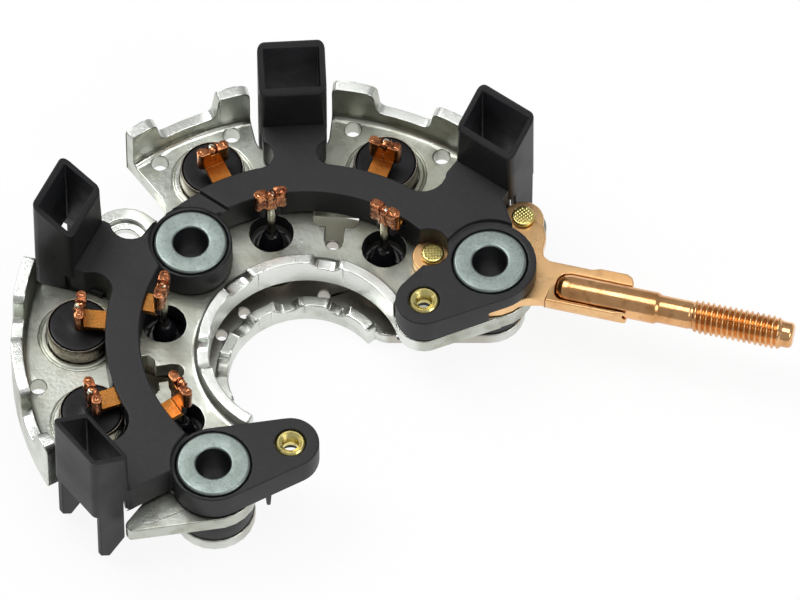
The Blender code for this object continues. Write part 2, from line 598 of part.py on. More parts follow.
def lead_guide(guide, scoops):
    """One slant-mouthed guide with its legs and stem, built upright and then set in its place."""
    half = GUIDE_WIDTH / 2
    foot = BAND_TOP - GUIDE_DROP
    mouth = BAND_TOP + GUIDE_RISE
    across = Matrix(((1, 0, 0, 0), (0, 0, 1, 0), (0, 1, 0, 0), (0, 0, 0, 1)))

    # The tube is a side outline, high outside and low inside, raised across its width
    side = [(0, foot), (GUIDE_DEPTH, foot), (GUIDE_DEPTH, mouth + GUIDE_SLANT), (0, mouth)]
    body = place(prism(side, -half, half), across)
    tip = LOWER_FOOT
    front = GUIDE_DEPTH - LEG_INSET
    leg = [(front, foot + GUIDE_WALL), (front - LEG_WIDTH, foot + GUIDE_WALL),
           (front - LEG_WIDTH, tip + LEG_POINT * 1.6), (front - LEG_POINT, tip), (front, tip + LEG_POINT)]
    join(body, *[place(prism(leg, edge, edge + GUIDE_WALL), across) for edge in (-half, half - GUIDE_WALL)])

    # The stem is nearly as wide as its guide, wider at its root, and waisted by round scoops
    wide = half - STEM_MARGIN
    root = BAND_OUT_R - guide[0] - STEM_ROOT
    edges = []
    for sign in (-1, 1):
        edge = [(root, sign * wide)]
        for x, y, radius in scoops:
            if y * sign > 0:
                edge = [(root, y), (x, y), (x, sign * wide)]
        edges.append(edge + [(GUIDE_WALL * 0.6, sign * wide)])
    stem = prism(edges[0] + edges[1][::-1], BLOCK_FOOT, BAND_TOP)
    cut(stem, *[prism(circle((x, y), radius), BLOCK_FOOT - THROUGH, BAND_TOP + THROUGH) for x, y, radius in scoops])
    join(body, stem)

    inner = half - GUIDE_WALL
    channel = [(GUIDE_WALL, -inner), (GUIDE_DEPTH - GUIDE_WALL, -inner), (GUIDE_DEPTH - GUIDE_WALL, inner),
               (GUIDE_WALL, inner)]
    cut(body, prism(channel, tip - THROUGH, mouth + GUIDE_SLANT + THROUGH))
    return place(body, headed(*guide))


def bar_outlines(grow):
    """Flat outlines of the output bar, each grown by a clearance when it cuts its pocket."""
    b = SLEEVE_PLACES["b"]
    frame = upright_at(BAR_HEADING, 0.0, b)
    back, front, root = BAR_BACK + grow, BAR_FRONT + grow, BAR_ROOT + grow
    ear = BAR_LENGTH - BAR_EAR_LENGTH
    arm = [(0, -front), (0, -front - BAR_FLARE), (root * 0.6, -front - BAR_FLARE * 0.65),
           (root * 0.9, -front - BAR_FLARE * 0.2), (root * 1.25, -front), (BAR_LENGTH, -front),
           (BAR_LENGTH, back - BAR_EAR * 2), (BAR_LENGTH - BAR_EAR, back), (BAR_LENGTH - BAR_EAR * 3, back + BAR_EAR),
           (ear, back + BAR_EAR), (ear - BAR_EAR * 3, back), (root * 1.2, back), (root * 1.06, back + BAR_FLARE * 0.2),
           (root, back + BAR_FLARE * 0.6), (root, back + BAR_FLARE * 1.35),
           (root - BAR_EAR * 2, back + BAR_FLARE * 2), (0, back + BAR_FLARE * 2)]
    return ([circle(b, BAR_RING_R + 3 * grow)]
            + [link(b, BAR_RING_R - RIVET_LOBE_R / 2 + grow, spot, RIVET_LOBE_R + grow) for spot in RIVET_PLACES]
            + [[in_plan(frame, x, y) for x, y in arm]])


def terminal_block():
    body = prism(sector(BAND_IN_R, BAND_OUT_R, *BAND_SPAN), BLOCK_FOOT, BAND_TOP)

    # The block's end beside the last guide, and its shoulder between the third guide and boss b
    tip = in_plan(headed(*GUIDE_PLACES[3]), 0, GUIDE_WIDTH / 2 - CORNER_TIP_R / 2)
    shoulder = in_plan(headed(*GUIDE_PLACES[2]), *SHOULDER_SET)
    b_x, b_y = SLEEVE_PLACES["b"]
    tuck = (b_x - SHOULDER_TUCK / 2, b_y + SHOULDER_TUCK)
    join(body, prism(link(tip, CORNER_TIP_R, polar(BAND_OUT_R, BAND_SPAN[1] - 2.2), CORNER_ROOT_R),
                     BLOCK_FOOT, BAND_TOP),
         prism(link(shoulder, SHOULDER_R, tuck, BOSS_R["b"] - SHOULDER_TUCK), BLOCK_FOOT, BAND_TOP))
    join(body, *[lead_guide(guide, scoops) for guide, scoops in zip(GUIDE_PLACES, STEM_SCOOPS)])

    # Bosses and arms stand a step lower than the band, so the band is cut back over them first
    a_x, a_y = SLEEVE_PLACES["a"]
    near, far = BAND_STEP
    cut(body, prism([near, far, (a_x - BOSS_R["a"] * 0.8, a_y + BOSS_R["a"] * 0.9), (a_x, a_y),
                     (a_x + BOSS_R["a"] * 1.1, a_y + BOSS_R["a"] * 0.15)], BOSS_TOP + WEB_STEP, BAND_TOP + THROUGH))
    bosses = [circle(SLEEVE_PLACES["a"], BOSS_R["a"], BOSS_STEP)]
    bosses += [link(SLEEVE_PLACES[key], BOSS_R[key], spot, INSERT_BOSS_R, BOSS_STEP)
               for key, spot in INSERT_PLACES.items()]
    for outline in bosses:
        cut(body, prism(outline, BOSS_TOP, BAND_TOP + THROUGH))
        join(body, prism(outline, BLOCK_FOOT, BOSS_TOP))

    # Seats of the sleeves and inserts
    for spot in SLEEVE_PLACES.values():
        cut(body, prism(circle(spot, SLEEVE_SHANK_R + GAP), BLOCK_FOOT - THROUGH, BAND_TOP + THROUGH),
            prism(circle(spot, SLEEVE_FACE_R + GAP), -SLEEVE_FACE_THICK - GAP, BAND_TOP + THROUGH))
    for spot in INSERT_PLACES.values():
        cut(body, prism(circle(spot, INSERT_RELIEF_R), BLOCK_FOOT - THROUGH, BAND_TOP + THROUGH),
            prism(circle(spot, INSERT_R + SKIN_FIT), BOSS_TOP - INSERT_LENGTH - GAP, BAND_TOP + THROUGH))

    # Channels of the strips, room over the diodes, pocket of the output bar
    cut(body, *[prism(ribbon(strip_path(phase), STRIP_WIDTH + 2 * GAP), STRIP_FOOT - GAP, STRIP_TOP + GAP)
                for phase in range(len(UPPER_DIODE_ANGLES))])
    diode_top = UPPER_TOP + CASE_STANDS
    cut(body, *[prism(circle(spot, CASE_R + GAP), BLOCK_FOOT - THROUGH, diode_top + GAP)
                for spot in diode_places(UPPER_DIODE_R, UPPER_DIODE_ANGLES)])
    cut(body, *[prism(outline, BLOCK_FOOT - THROUGH, BAR_TOP + GAP - WEB_STEP * number)
                for number, outline in enumerate(bar_outlines(GAP))])
    cut(body, *[prism(circle(spot, radius), BLOCK_FOOT - THROUGH, BAND_TOP + THROUGH)
                for spot, radius in RIVET_RELIEFS])
    return body


def stud_frame(along=0.0, height=0.0):
    """Frame on the stud: X along its axis from the sleeve, Z up."""
    x, y = SLEEVE_PLACES["b"]
    return (Matrix.Translation((x, y, BAR_TOP - STUD_SINK + height)) @ Matrix.Rotation(math.radians(BAR_HEADING), 4, "Z")
            @ Matrix.Translation((along, 0, 0)) @ Matrix.Rotation(math.radians(90), 4, "Y"))


def stud(grow=0.0):
    start, neck, thread, point, end = STUD_STATIONS
    big, slim = STUD_R + grow, STUD_NECK_R + grow
    turn, tip = STUD_THREAD_R + grow, STUD_POINT_R + grow
    bevel = 0.5 * MM
    profile = [(0, start - grow), (big * 0.6, start - grow + bevel * 0.5), (big * 0.9, start - grow + bevel * 2),
               (big, start - grow + bevel * 4), (big, neck), (slim, neck + bevel), (slim, thread),
               (turn, thread + bevel), (turn, point), (tip, point + bevel), (tip, end - bevel),
               (tip - bevel, end + grow), (0, end + grow)]
    return place(turned(profile), stud_frame())


def output_bar():
    first, *rest = [prism(outline, BAR_FOOT, BAR_TOP) for outline in bar_outlines(0.0)]
    body = join(first, *rest)
    outer = STUD_R + GAP + TROUGH_WALL
    lean = math.degrees(math.asin(TROUGH_LIP / outer))
    trough = place(prism(arc((0, 0), outer, 180 - lean, 360, FINE), TROUGH_START - TROUGH_WALL, BAR_LENGTH),
                   stud_frame() @ Matrix.Rotation(math.radians(90), 4, "Z"))
    join(body, trough)
    cut(body, stud(GAP))
    slant = [(BAR_LENGTH - TROUGH_CUT, -outer - THROUGH), (BAR_LENGTH + THROUGH, -outer - THROUGH),
             (BAR_LENGTH + THROUGH, -outer + TROUGH_CUT), (BAR_LENGTH - TROUGH_CUT, -outer)]
    cut(body, place(prism(slant, BAR_FOOT - THROUGH, BAR_TOP + THROUGH), upright_at(BAR_HEADING, 0.0, SLEEVE_PLACES["b"])))
    cut(body, prism(circle(SLEEVE_PLACES["b"], SLEEVE_SHANK_R + GAP + BUSH_SPIGOT_WALL + GAP),
                    BAR_FOOT - THROUGH, BAR_TOP + THROUGH))
    cut(body, *[prism(circle(spot, RIVET_SHANK_R + GAP), BAR_FOOT - THROUGH, BAR_TOP + THROUGH)
                for spot in RIVET_PLACES])
    return body


def rivet(spot):
    head = BAR_TOP + GAP
    profile = [(0, BAR_FOOT - RIVET_REACH), (RIVET_SHANK_R, BAR_FOOT - RIVET_REACH), (RIVET_SHANK_R, head),
               (RIVET_HEAD_R, head), (RIVET_HEAD_R, head + RIVET_HEAD * 0.75),
               (RIVET_HEAD_R - 0.4 * MM, head + RIVET_HEAD), (0, head + RIVET_HEAD)]
    return turned(profile, spot)


def sleeve(spot):
    foot = LOWER_FOOT
    profile = [(SLEEVE_BORE_R + SLEEVE_CHAMFER, 0), (SLEEVE_BORE_R, -SLEEVE_CHAMFER), (SLEEVE_BORE_R, foot),
               (SLEEVE_SHANK_R, foot), (SLEEVE_SHANK_R, -SLEEVE_FACE_THICK), (SLEEVE_FACE_R, -SLEEVE_FACE_THICK),
               (SLEEVE_FACE_R, -SLEEVE_CHAMFER), (SLEEVE_FACE_R - SLEEVE_CHAMFER, 0)]
    return turned(profile, spot)


def bush(key):
    bore = SLEEVE_SHANK_R + GAP
    collar = bore + BUSH_SPIGOT_WALL
    profile = [(bore, BUSH_FOOT), (BUSH_R[key], BUSH_FOOT), (BUSH_R[key], BUSH_TOP), (collar, BUSH_TOP),
               (collar, UPPER_TOP), (bore, UPPER_TOP)]
    return turned(profile, SLEEVE_PLACES[key])


def insert(spot):
    top = BOSS_TOP
    foot = top - INSERT_LENGTH
    lead = 0.35 * MM
    profile = [(INSERT_BORE_R + lead, top), (INSERT_BORE_R, top - lead), (INSERT_BORE_R, foot), (INSERT_R, foot),
               (INSERT_R, top)]
    return turned(profile, spot)


def stand_on_floor(objects):
    """Moves every piece so that the part's box stands centred on the origin."""
    corners = [obj.matrix_world @ v.co for obj in objects for v in obj.data.vertices]
    low = Vector([min(c[i] for c in corners) for i in range(3)])
    high = Vector([max(c[i] for c in corners) for i in range(3)])
    shift = Vector((-(low.x + high.x) / 2, -(low.y + high.y) / 2, -low.z))
    for obj in objects:
        obj.data.transform(Matrix.Translation(shift))
    return shift


def build():
    for obj in list(bpy.data.objects):
        bpy.data.objects.remove(obj)

    aluminium = material("cast_aluminium", (0.62, 0.64, 0.60), 0.35, 1.0)
    steel = material("zinc_plated_steel", (0.55, 0.60, 0.60), 0.35, 1.0)
    plastic = material("black_moulding", (0.03, 0.03, 0.033), 0.55, 0.0)
    resin = material("black_resin", (0.012, 0.012, 0.016), 0.2, 0.0)
    case = material("nickel_plated_case", (0.42, 0.38, 0.33), 0.3, 1.0)
    tin = material("tinned_lead", (0.7, 0.68, 0.6), 0.25, 1.0)
    copper = material("copper", (0.86, 0.42, 0.2), 0.3, 1.0)
    brass = material("brass", (0.82, 0.68, 0.28), 0.3, 1.0)

    parts = [finish(flatten(upper_heat_sink()), "upper_heat_sink", aluminium),
             finish(flatten(lower_heat_sink()), "lower_heat_sink", aluminium),
             finish(flatten(terminal_block()), "terminal_block", plastic),
             finish(flatten(output_bar()), "output_bar", copper),
             finish(stud(), "output_stud", copper)]

    decks = (("upper", UPPER_DIODE_R, UPPER_DIODE_ANGLES, UPPER_FOOT, UPPER_TOP, UPPER_CRIMP_TOP, False),
             ("lower", LOWER_DIODE_R, LOWER_DIODE_ANGLES, LOWER_FOOT, LOWER_TOP, LOWER_CRIMP_TOP, True))
    for deck, radius, angles, foot, top, crimp_top, cone in decks:
        case_top = top + CASE_STANDS
        for number, spot in enumerate(diode_places(radius, angles), start=1):
            tip = STRIP_TOP + crimp_top + UPPER_PIN_PROUD
            parts.append(finish(diode_case(foot, case_top, spot), f"{deck}_diode_case_{number}", case))
            parts.append(finish(diode_resin(case_top, spot, cone), f"{deck}_diode_resin_{number}", resin))
            parts.append(finish(diode_pin(case_top, tip, spot), f"{deck}_diode_lead_{number}", tin))

    for phase in range(len(UPPER_DIODE_ANGLES)):
        parts.append(finish(flatten(phase_terminal(phase)), f"phase_terminal_{phase + 1}", copper))
    for key, spot in SLEEVE_PLACES.items():
        parts.append(finish(sleeve(spot), f"mounting_sleeve_{key}", steel))
        parts.append(finish(bush(key), f"insulating_bush_{key}", plastic))
    for key, spot in INSERT_PLACES.items():
        parts.append(finish(insert(spot), f"threaded_insert_{key}", brass))
    for number, spot in enumerate(RIVET_PLACES, start=1):
        parts.append(finish(rivet(spot), f"bar_rivet_{number}", brass))
    stand_on_floor(parts)


build()
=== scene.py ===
# Dresses the alternator rectifier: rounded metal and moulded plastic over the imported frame,
# its finishes, and the studio. Metres, +Z up. Places come from the frame's own pieces, or are
# measured from the shaft axis and the height of the sleeves' faces.

import json
import math

import bmesh
import bpy
from mathutils import Matrix, Vector, noise


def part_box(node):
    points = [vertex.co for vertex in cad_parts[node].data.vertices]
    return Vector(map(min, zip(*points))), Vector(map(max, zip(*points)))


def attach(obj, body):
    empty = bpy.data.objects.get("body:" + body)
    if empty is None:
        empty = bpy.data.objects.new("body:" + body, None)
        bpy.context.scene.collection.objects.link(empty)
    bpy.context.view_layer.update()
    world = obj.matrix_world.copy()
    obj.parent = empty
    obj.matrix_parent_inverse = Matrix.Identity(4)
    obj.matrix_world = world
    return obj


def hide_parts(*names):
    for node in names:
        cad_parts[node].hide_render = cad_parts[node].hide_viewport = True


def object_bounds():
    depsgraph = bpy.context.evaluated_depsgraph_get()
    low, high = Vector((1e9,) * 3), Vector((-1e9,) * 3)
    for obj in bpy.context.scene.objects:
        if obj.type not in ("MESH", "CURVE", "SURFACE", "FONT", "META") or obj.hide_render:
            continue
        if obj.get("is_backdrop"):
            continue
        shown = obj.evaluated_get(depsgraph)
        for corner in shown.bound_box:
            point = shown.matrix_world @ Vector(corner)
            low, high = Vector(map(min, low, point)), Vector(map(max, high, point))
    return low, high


MM = 0.001

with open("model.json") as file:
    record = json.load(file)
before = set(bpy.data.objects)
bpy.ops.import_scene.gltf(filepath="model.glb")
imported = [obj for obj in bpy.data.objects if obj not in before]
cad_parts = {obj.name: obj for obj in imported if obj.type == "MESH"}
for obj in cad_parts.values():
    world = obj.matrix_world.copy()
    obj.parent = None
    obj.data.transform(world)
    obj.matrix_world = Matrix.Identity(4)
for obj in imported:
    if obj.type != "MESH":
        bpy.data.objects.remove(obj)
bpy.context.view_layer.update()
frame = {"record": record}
SLOT_OF = {entry["node"]: entry["material_slot"] for entry in frame["record"]["subparts"]}
DECKS = ("upper", "lower")
NUMBERS = range(1, 5)          # of the diodes in a deck, and of the phases


def box(node):
    low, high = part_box(node)
    return Vector(low), Vector(high)


def centre(node):
    low, high = box(node)
    return (low + high) / 2


# The shaft axis, found from one sleeve, at the height of the sleeves' faces
SLEEVE_A_FROM_SHAFT = Vector((-20.5 * MM, 19.3 * MM, 0))
SLEEVE_A = centre("mounting_sleeve_a")
FACE_HEIGHT = box("mounting_sleeve_a")[1].z
SHAFT = Vector((SLEEVE_A.x, SLEEVE_A.y, FACE_HEIGHT)) - SLEEVE_A_FROM_SHAFT

# The photographed view
VIEW_ELEVATION = math.radians(58)
VIEW_DISTANCE = 2.124
VIEW_CENTRE = SHAFT + Vector((16.66 * MM, 7.05 * MM, 0))
LENS = 540
SENSOR = 36
CLIP_END = 20.0


# Shader groups: effects that several finishes share

GRAIN_ROUGHNESS = 0.55         # of every noise
BLOTCH_BAND = (0.36, 0.66)     # noise levels where a mask climbs from 0 to 1
SPECK_BAND = (0.52, 0.72)


def shader_group(name, inputs, outputs):
    group = bpy.data.node_groups.new(name, "ShaderNodeTree")
    for label, default in inputs:
        socket = group.interface.new_socket(label, in_out="INPUT", socket_type="NodeSocketFloat")
        socket.default_value = default
    for label in outputs:
        group.interface.new_socket(label, in_out="OUTPUT", socket_type="NodeSocketFloat")
    start = group.nodes.new("NodeGroupInput")
    end = group.nodes.new("NodeGroupOutput")
    place = group.nodes.new("ShaderNodeTexCoord")
    return group, start, end, place


def noise_in(group, place, scale, detail):
    texture = group.nodes.new("ShaderNodeTexNoise")
    texture.inputs["Detail"].default_value = detail
    texture.inputs["Roughness"].default_value = GRAIN_ROUGHNESS
    group.links.new(place.outputs["Object"], texture.inputs["Vector"])
    group.links.new(scale, texture.inputs["Scale"])
    return texture.outputs["Fac"]


def remap_in(group, value, low, high):
    node = group.nodes.new("ShaderNodeMapRange")
    node.inputs["From Min"].default_value = low
    node.inputs["From Max"].default_value = high
    group.links.new(value, node.inputs["Value"])
    return node.outputs["Result"]


def math_in(group, operation, first, second):
    node = group.nodes.new("ShaderNodeMath")
    node.operation = operation
    for socket, value in zip(node.inputs, (first, second)):
        if hasattr(value, "links"):
            group.links.new(value, socket)
        else:
            socket.default_value = value
    return node.outputs[0]


def tarnish_group():
    """Slow blotches of tarnish, with small specks in them."""
    group, start, end, place = shader_group("tarnish", (("Blotch Scale", 90.0), ("Speck Scale", 900.0)),
                                            ("Blotch", "Speck"))
    blotch = noise_in(group, place, start.outputs["Blotch Scale"], detail=3.0)
    speck = noise_in(group, place, start.outputs["Speck Scale"], detail=2.0)
    group.links.new(remap_in(group, blotch, *BLOTCH_BAND), end.inputs["Blotch"])
    group.links.new(remap_in(group, speck, *SPECK_BAND), end.inputs["Speck"])
    return group


def surface_group():
    """Height of a surface: fine grain over a slow waviness."""
    inputs = (("Grain Scale", 2500.0), ("Wave Scale", 250.0), ("Wave Share", 0.5))
    group, start, end, place = shader_group("surface_height", inputs, ("Height",))
    grain = noise_in(group, place, start.outputs["Grain Scale"], detail=2.0)
    wave = noise_in(group, place, start.outputs["Wave Scale"], detail=2.0)
    lifted = math_in(group, "MULTIPLY", wave, start.outputs["Wave Share"])
    group.links.new(math_in(group, "ADD", grain, lifted), end.inputs["Height"])
    return group


def zone_group():
    """Distance from the shaft axis, and depth below the sleeves' faces."""
    group, start, end, place = shader_group("zones", (), ("Radius", "Depth"))

    def vector_math(operation, source, operand=None):
        made = group.nodes.new("ShaderNodeVectorMath")
        made.operation = operation
        if operand is not None:
            made.inputs[1].default_value = operand
        group.links.new(source, made.inputs[0])
        return made

    from_shaft = vector_math("SUBTRACT", place.outputs["Object"], SHAFT)
    flat = vector_math("MULTIPLY", from_shaft.outputs[0], (1, 1, 0))
    length = vector_math("LENGTH", flat.outputs[0])
    apart = group.nodes.new("ShaderNodeSeparateXYZ")
    group.links.new(from_shaft.outputs[0], apart.inputs[0])
    group.links.new(length.outputs["Value"], end.inputs["Radius"])
    group.links.new(math_in(group, "MULTIPLY", apart.outputs["Z"], -1.0), end.inputs["Depth"])
    return group


TARNISH = tarnish_group()
SURFACE = surface_group()
ZONES = zone_group()

# Sockets of a Mix node that mixes colours
MIX_SHARE, MIX_FIRST, MIX_SECOND, MIX_RESULT = 0, 6, 7, 2


class Finish:
    """One material: a Principled shader with the shared effects wired to it."""

    def __init__(self, name, metallic, specular):
        self.material = bpy.data.materials.new(name)
        self.material.use_nodes = True
        self.tree = self.material.node_tree
        self.shader = self.tree.nodes["Principled BSDF"]
        self.shader.inputs["Metallic"].default_value = metallic
        self.shader.inputs["Specular IOR Level"].default_value = specular

    def node(self, kind, **settings):
        made = self.tree.nodes.new(kind)
        for key, value in settings.items():
            setattr(made, key, value)
        return made

    def group(self, group, **values):
        made = self.node("ShaderNodeGroup")
        made.node_tree = group
        for key, value in values.items():
            made.inputs[key.replace("_", " ")].default_value = value
        return made

    def link(self, output, socket):
        self.tree.links.new(output, socket)

    def math(self, operation, first, second):
        made = self.node("ShaderNodeMath", operation=operation)
        for socket, value in zip(made.inputs, (first, second)):
            if hasattr(value, "links"):
                self.link(value, socket)
            else:
                socket.default_value = value
        return made.outputs[0]

    def mix(self, share, first, second):
        made = self.node("ShaderNodeMix", data_type="RGBA")
        for number, value in ((MIX_SHARE, share), (MIX_FIRST, first), (MIX_SECOND, second)):
            if isinstance(value, tuple):
                made.inputs[number].default_value = (*value, 1.0)
            else:
                self.link(value, made.inputs[number])
        return made.outputs[MIX_RESULT]

    def spread(self, value, low, high):
        made = self.node("ShaderNodeMapRange")
        made.inputs["To Min"].default_value = low
        made.inputs["To Max"].default_value = high
        self.link(value, made.inputs["Value"])
        return made.outputs["Result"]

    def climb(self, value, low, high):
        """Mask that climbs from 0 to 1 as a value goes from low to high, or falls if low is the larger."""
        made = self.node("ShaderNodeMapRange")
        made.inputs["From Min"].default_value = low
        made.inputs["From Max"].default_value = high
        self.link(value, made.inputs["Value"])
        return made.outputs["Result"]

    def bump(self, height, strength, distance):
        made = self.node("ShaderNodeBump")
        made.inputs["Strength"].default_value = strength
        made.inputs["Distance"].default_value = distance
        self.link(height, made.inputs["Height"])
        self.link(made.outputs["Normal"], self.shader.inputs["Normal"])


# Zones of the heat sinks, for their painted highlight and painted shade: where each mask climbs or falls
# Where the painted highlight lies: round the bore, and on upward faces near the top
BORE_WALL_R = (20.4 * MM, 19.2 * MM)
TAB_TOP_DEPTH = (4.6 * MM, 3.6 * MM)
UP_FACING = (0.4, 0.8)
# Where the painted shade on the lower heat sink begins and ends
SHADE_FROM_R = (16.4 * MM, 17.2 * MM)
SHADE_TO_R = (36.0 * MM, 33.0 * MM)


def painted_highlight_walls(made, zones):
    """Painted highlight: the walls round the bore, and the upper faces of the tabs, are painted brighter."""
    bore = made.climb(zones.outputs["Radius"], *BORE_WALL_R)
    high = made.climb(zones.outputs["Depth"], *TAB_TOP_DEPTH)
    facing = made.node("ShaderNodeSeparateXYZ")
    made.link(made.node("ShaderNodeNewGeometry").outputs["Normal"], facing.inputs[0])
    tops = made.math("MULTIPLY", high, made.climb(facing.outputs["Z"], *UP_FACING))
    return made.math("MAXIMUM", bore, tops)


def painted_shade_between(made, zones):
    """Painted shade: the lower heat sink is darker where the upper one covers it."""
    inside = made.climb(zones.outputs["Radius"], *SHADE_FROM_R)
    return made.math("MULTIPLY", inside, made.climb(zones.outputs["Radius"], *SHADE_TO_R))


def blotched(name, tones, roughness, metallic, scales, bump,
             wave=(250.0, 0.5), speck_weight=0.35, specular=0.5, zoned=()):
    """A finish whose colour and gloss drift in blotches and specks, and change from zone to zone.

    tones are its clean, dull and stained colours, scales those of its blotches, specks and grain,
    bump the strength and distance of its grain, wave the scale and share of its waviness."""
    clean, dull, stain = tones
    blotch_scale, speck_scale, grain_scale = scales
    made = Finish(name, metallic, specular)
    tarnish = made.group(TARNISH, Blotch_Scale=blotch_scale, Speck_Scale=speck_scale)
    toned = made.mix(tarnish.outputs["Blotch"], clean, dull)
    speckled = made.math("MULTIPLY", tarnish.outputs["Speck"], speck_weight)
    colour = made.mix(speckled, toned, stain)
    for mask, zone_colour in zoned:
        colour = made.mix(mask(made, made.group(ZONES)), colour, zone_colour)
    made.link(colour, made.shader.inputs["Base Color"])
    made.link(made.spread(tarnish.outputs["Blotch"], *roughness), made.shader.inputs["Roughness"])
    surface = made.group(SURFACE, Grain_Scale=grain_scale, Wave_Scale=wave[0], Wave_Share=wave[1])
    made.bump(surface.outputs["Height"], *bump)
    return made.material


METAL = 1.0
DIELECTRIC = 0.0

# One for each material slot of the record, and more for parts of a slot that look different
FINISHES = {
    # Aluminium with a painted highlight round the bore and on the tab tops
    "aluminium": blotched(
        "pressed_aluminium", ((0.66, 0.69, 0.63), (0.34, 0.345, 0.275), (0.22, 0.21, 0.15)),
        (0.24, 0.42), METAL, (48.0, 380.0, 1500.0), (0.25, 0.00012), wave=(160.0, 1.2),
        zoned=((painted_highlight_walls, (0.80, 0.82, 0.78)),)),
    # Lower heat sink: lighter aluminium, with painted shade where the upper heat sink covers it
    "painted_shade_aluminium": blotched(
        "painted_shade_aluminium", ((0.80, 0.82, 0.78), (0.62, 0.64, 0.58), (0.36, 0.36, 0.31)),
        (0.26, 0.44), METAL, (70.0, 420.0, 1500.0), (0.25, 0.00012), wave=(160.0, 1.2),
        zoned=((painted_shade_between, (0.50, 0.48, 0.43)),)),
    "black_moulding": blotched(
        "black_moulding", ((0.0105, 0.0105, 0.012), (0.016, 0.016, 0.0175), (0.03, 0.03, 0.03)),
        (0.42, 0.58), DIELECTRIC, (60.0, 900.0, 2600.0), (0.35, 0.00008), speck_weight=0.2, specular=0.35),
    "copper": blotched(
        "bare_copper", ((0.62, 0.27, 0.07), (0.40, 0.15, 0.03), (0.24, 0.08, 0.02)),
        (0.20, 0.34), METAL, (300.0, 1200.0, 2500.0), (0.3, 0.00005), speck_weight=0.15),
    "welded_copper": blotched(
        "weld_browned_copper", ((0.66, 0.27, 0.12), (0.22, 0.065, 0.03), (0.03, 0.010, 0.008)),
        (0.14, 0.30), METAL, (560.0, 800.0, 2500.0), (0.4, 0.00008), wave=(700.0, 1.0), speck_weight=0.8),
    "burnished_copper": blotched(
        "burnished_copper", ((0.86, 0.49, 0.23), (0.66, 0.33, 0.13), (0.34, 0.14, 0.05)),
        (0.14, 0.24), METAL, (160.0, 600.0, 2500.0), (0.25, 0.00005), speck_weight=0.4),
    "polished_copper": blotched(
        "polished_copper", ((0.93, 0.60, 0.30), (0.83, 0.48, 0.21), (0.48, 0.24, 0.09)),
        (0.26, 0.38), METAL, (120.0, 500.0, 2500.0), (0.2, 0.00005), speck_weight=0.3),
    "plated_case": blotched(
        "plated_case", ((0.44, 0.40, 0.34), (0.30, 0.26, 0.21), (0.16, 0.13, 0.10)),
        (0.22, 0.38), METAL, (180.0, 900.0, 2500.0), (0.2, 0.00006)),
    "black_resin": blotched(
        "black_resin", ((0.005, 0.005, 0.006), (0.009, 0.008, 0.010), (0.02, 0.018, 0.02)),
        (0.30, 0.46), DIELECTRIC, (150.0, 1500.0, 900.0), (0.3, 0.00010), specular=0.22),
    "wet_resin": blotched(
        "glossy_resin", ((0.006, 0.006, 0.008), (0.009, 0.008, 0.011), (0.02, 0.02, 0.02)),
        (0.10, 0.22), DIELECTRIC, (150.0, 1500.0, 900.0), (0.3, 0.00010), specular=0.35),
    "tinned_lead": blotched(
        "tinned_lead", ((0.78, 0.76, 0.66), (0.56, 0.50, 0.36), (0.3, 0.24, 0.16)),
        (0.14, 0.28), METAL, (400.0, 1500.0, 2500.0), (0.2, 0.00005)),
    "zinc_plated_steel": blotched(
        "zinc_plating", ((0.31, 0.365, 0.345), (0.24, 0.285, 0.265), (0.16, 0.19, 0.18)),
        (0.36, 0.50), METAL, (420.0, 1900.0, 3000.0), (0.45, 0.00008), speck_weight=0.6),
    # Painted shade for the insides of bores, holes and guide mouths
    "painted_bore_shade": blotched(
        "unlit_bore", ((0.014, 0.015, 0.018), (0.010, 0.010, 0.012), (0.006, 0.006, 0.007)),
        (0.40, 0.55), DIELECTRIC, (300.0, 1600.0, 3000.0), (0.3, 0.00006), specular=0.3),
    "brass": blotched(
        "bare_brass", ((0.86, 0.76, 0.32), (0.70, 0.58, 0.20), (0.40, 0.30, 0.08)),
        (0.18, 0.32), METAL, (300.0, 1400.0, 2500.0), (0.2, 0.00005)),
}


# Shaping

UPRIGHT = 0.3                  # largest upward share of an upright wall's normal
FACING = 0.3                   # smallest share of a wall's normal that points at the spot it faces
LEVEL_SLACK = 0.06 * MM        # an edge this near a height counts as lying at it
WALL_THICK_MAX = 3.0 * MM      # longest edge across the top of a tab or tooth
CROSSWISE = 0.9                # share of such an edge's direction that points from the shaft
TAB_CORNER = math.radians(40)
GUIDE_TALL_MIN = 6.0 * MM      # shortest upright edge of a lead guide
GUIDE_TOP_MIN = FACE_HEIGHT + 7.0 * MM
PLUMB = 0.99
GUIDE_CORNER = math.radians(60)
CORNER_SEGMENTS = 4
MERGE_DISTANCE = 0.03 * MM
FLAT_ANGLE = math.radians(1.0)
ROUNDING_SEGMENTS = 3
ROUNDING_ANGLE = math.radians(28)
SHADING_WEIGHT = 80
ARC_STEPS = 3                  # of a rounded corner in a profile
ARC_SHARE = 0.45               # largest share of a profile's side that one of its corners takes
SMOOTH_ANGLE = math.radians(40)
CRISP_ANGLE = math.radians(25)
ON_AXIS = 1e-6                 # a profile point nearer to the axis than this counts as on it
NO_LENGTH = 1e-7               # a profile side shorter than this counts as none
SPIN_MERGE = 0.002 * MM
SPIN_SLIVER = 0.001 * MM
ROUND_STEPS = 96               # steps of a full spin, by the size of the piece
SMALL_STEPS = 72
FASTENER_STEPS = 64
PIN_STEPS = 32


def mesh_from(bm, name):
    mesh = bpy.data.meshes.new(name)
    bm.to_mesh(mesh)
    bm.free()
    mesh.shade_smooth()
    return mesh


def new_piece(name, mesh, node, finish=None, stands_in=True):
    """A piece that stands for one node of the frame, or is one more piece on that node."""
    piece = bpy.data.objects.new(name, mesh)
    bpy.context.collection.objects.link(piece)
    slot = SLOT_OF[node]
    mesh.materials.clear()
    mesh.materials.append(FINISHES[finish or slot])
    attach(piece, "root")
    if stands_in:
        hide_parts(node)
    return piece


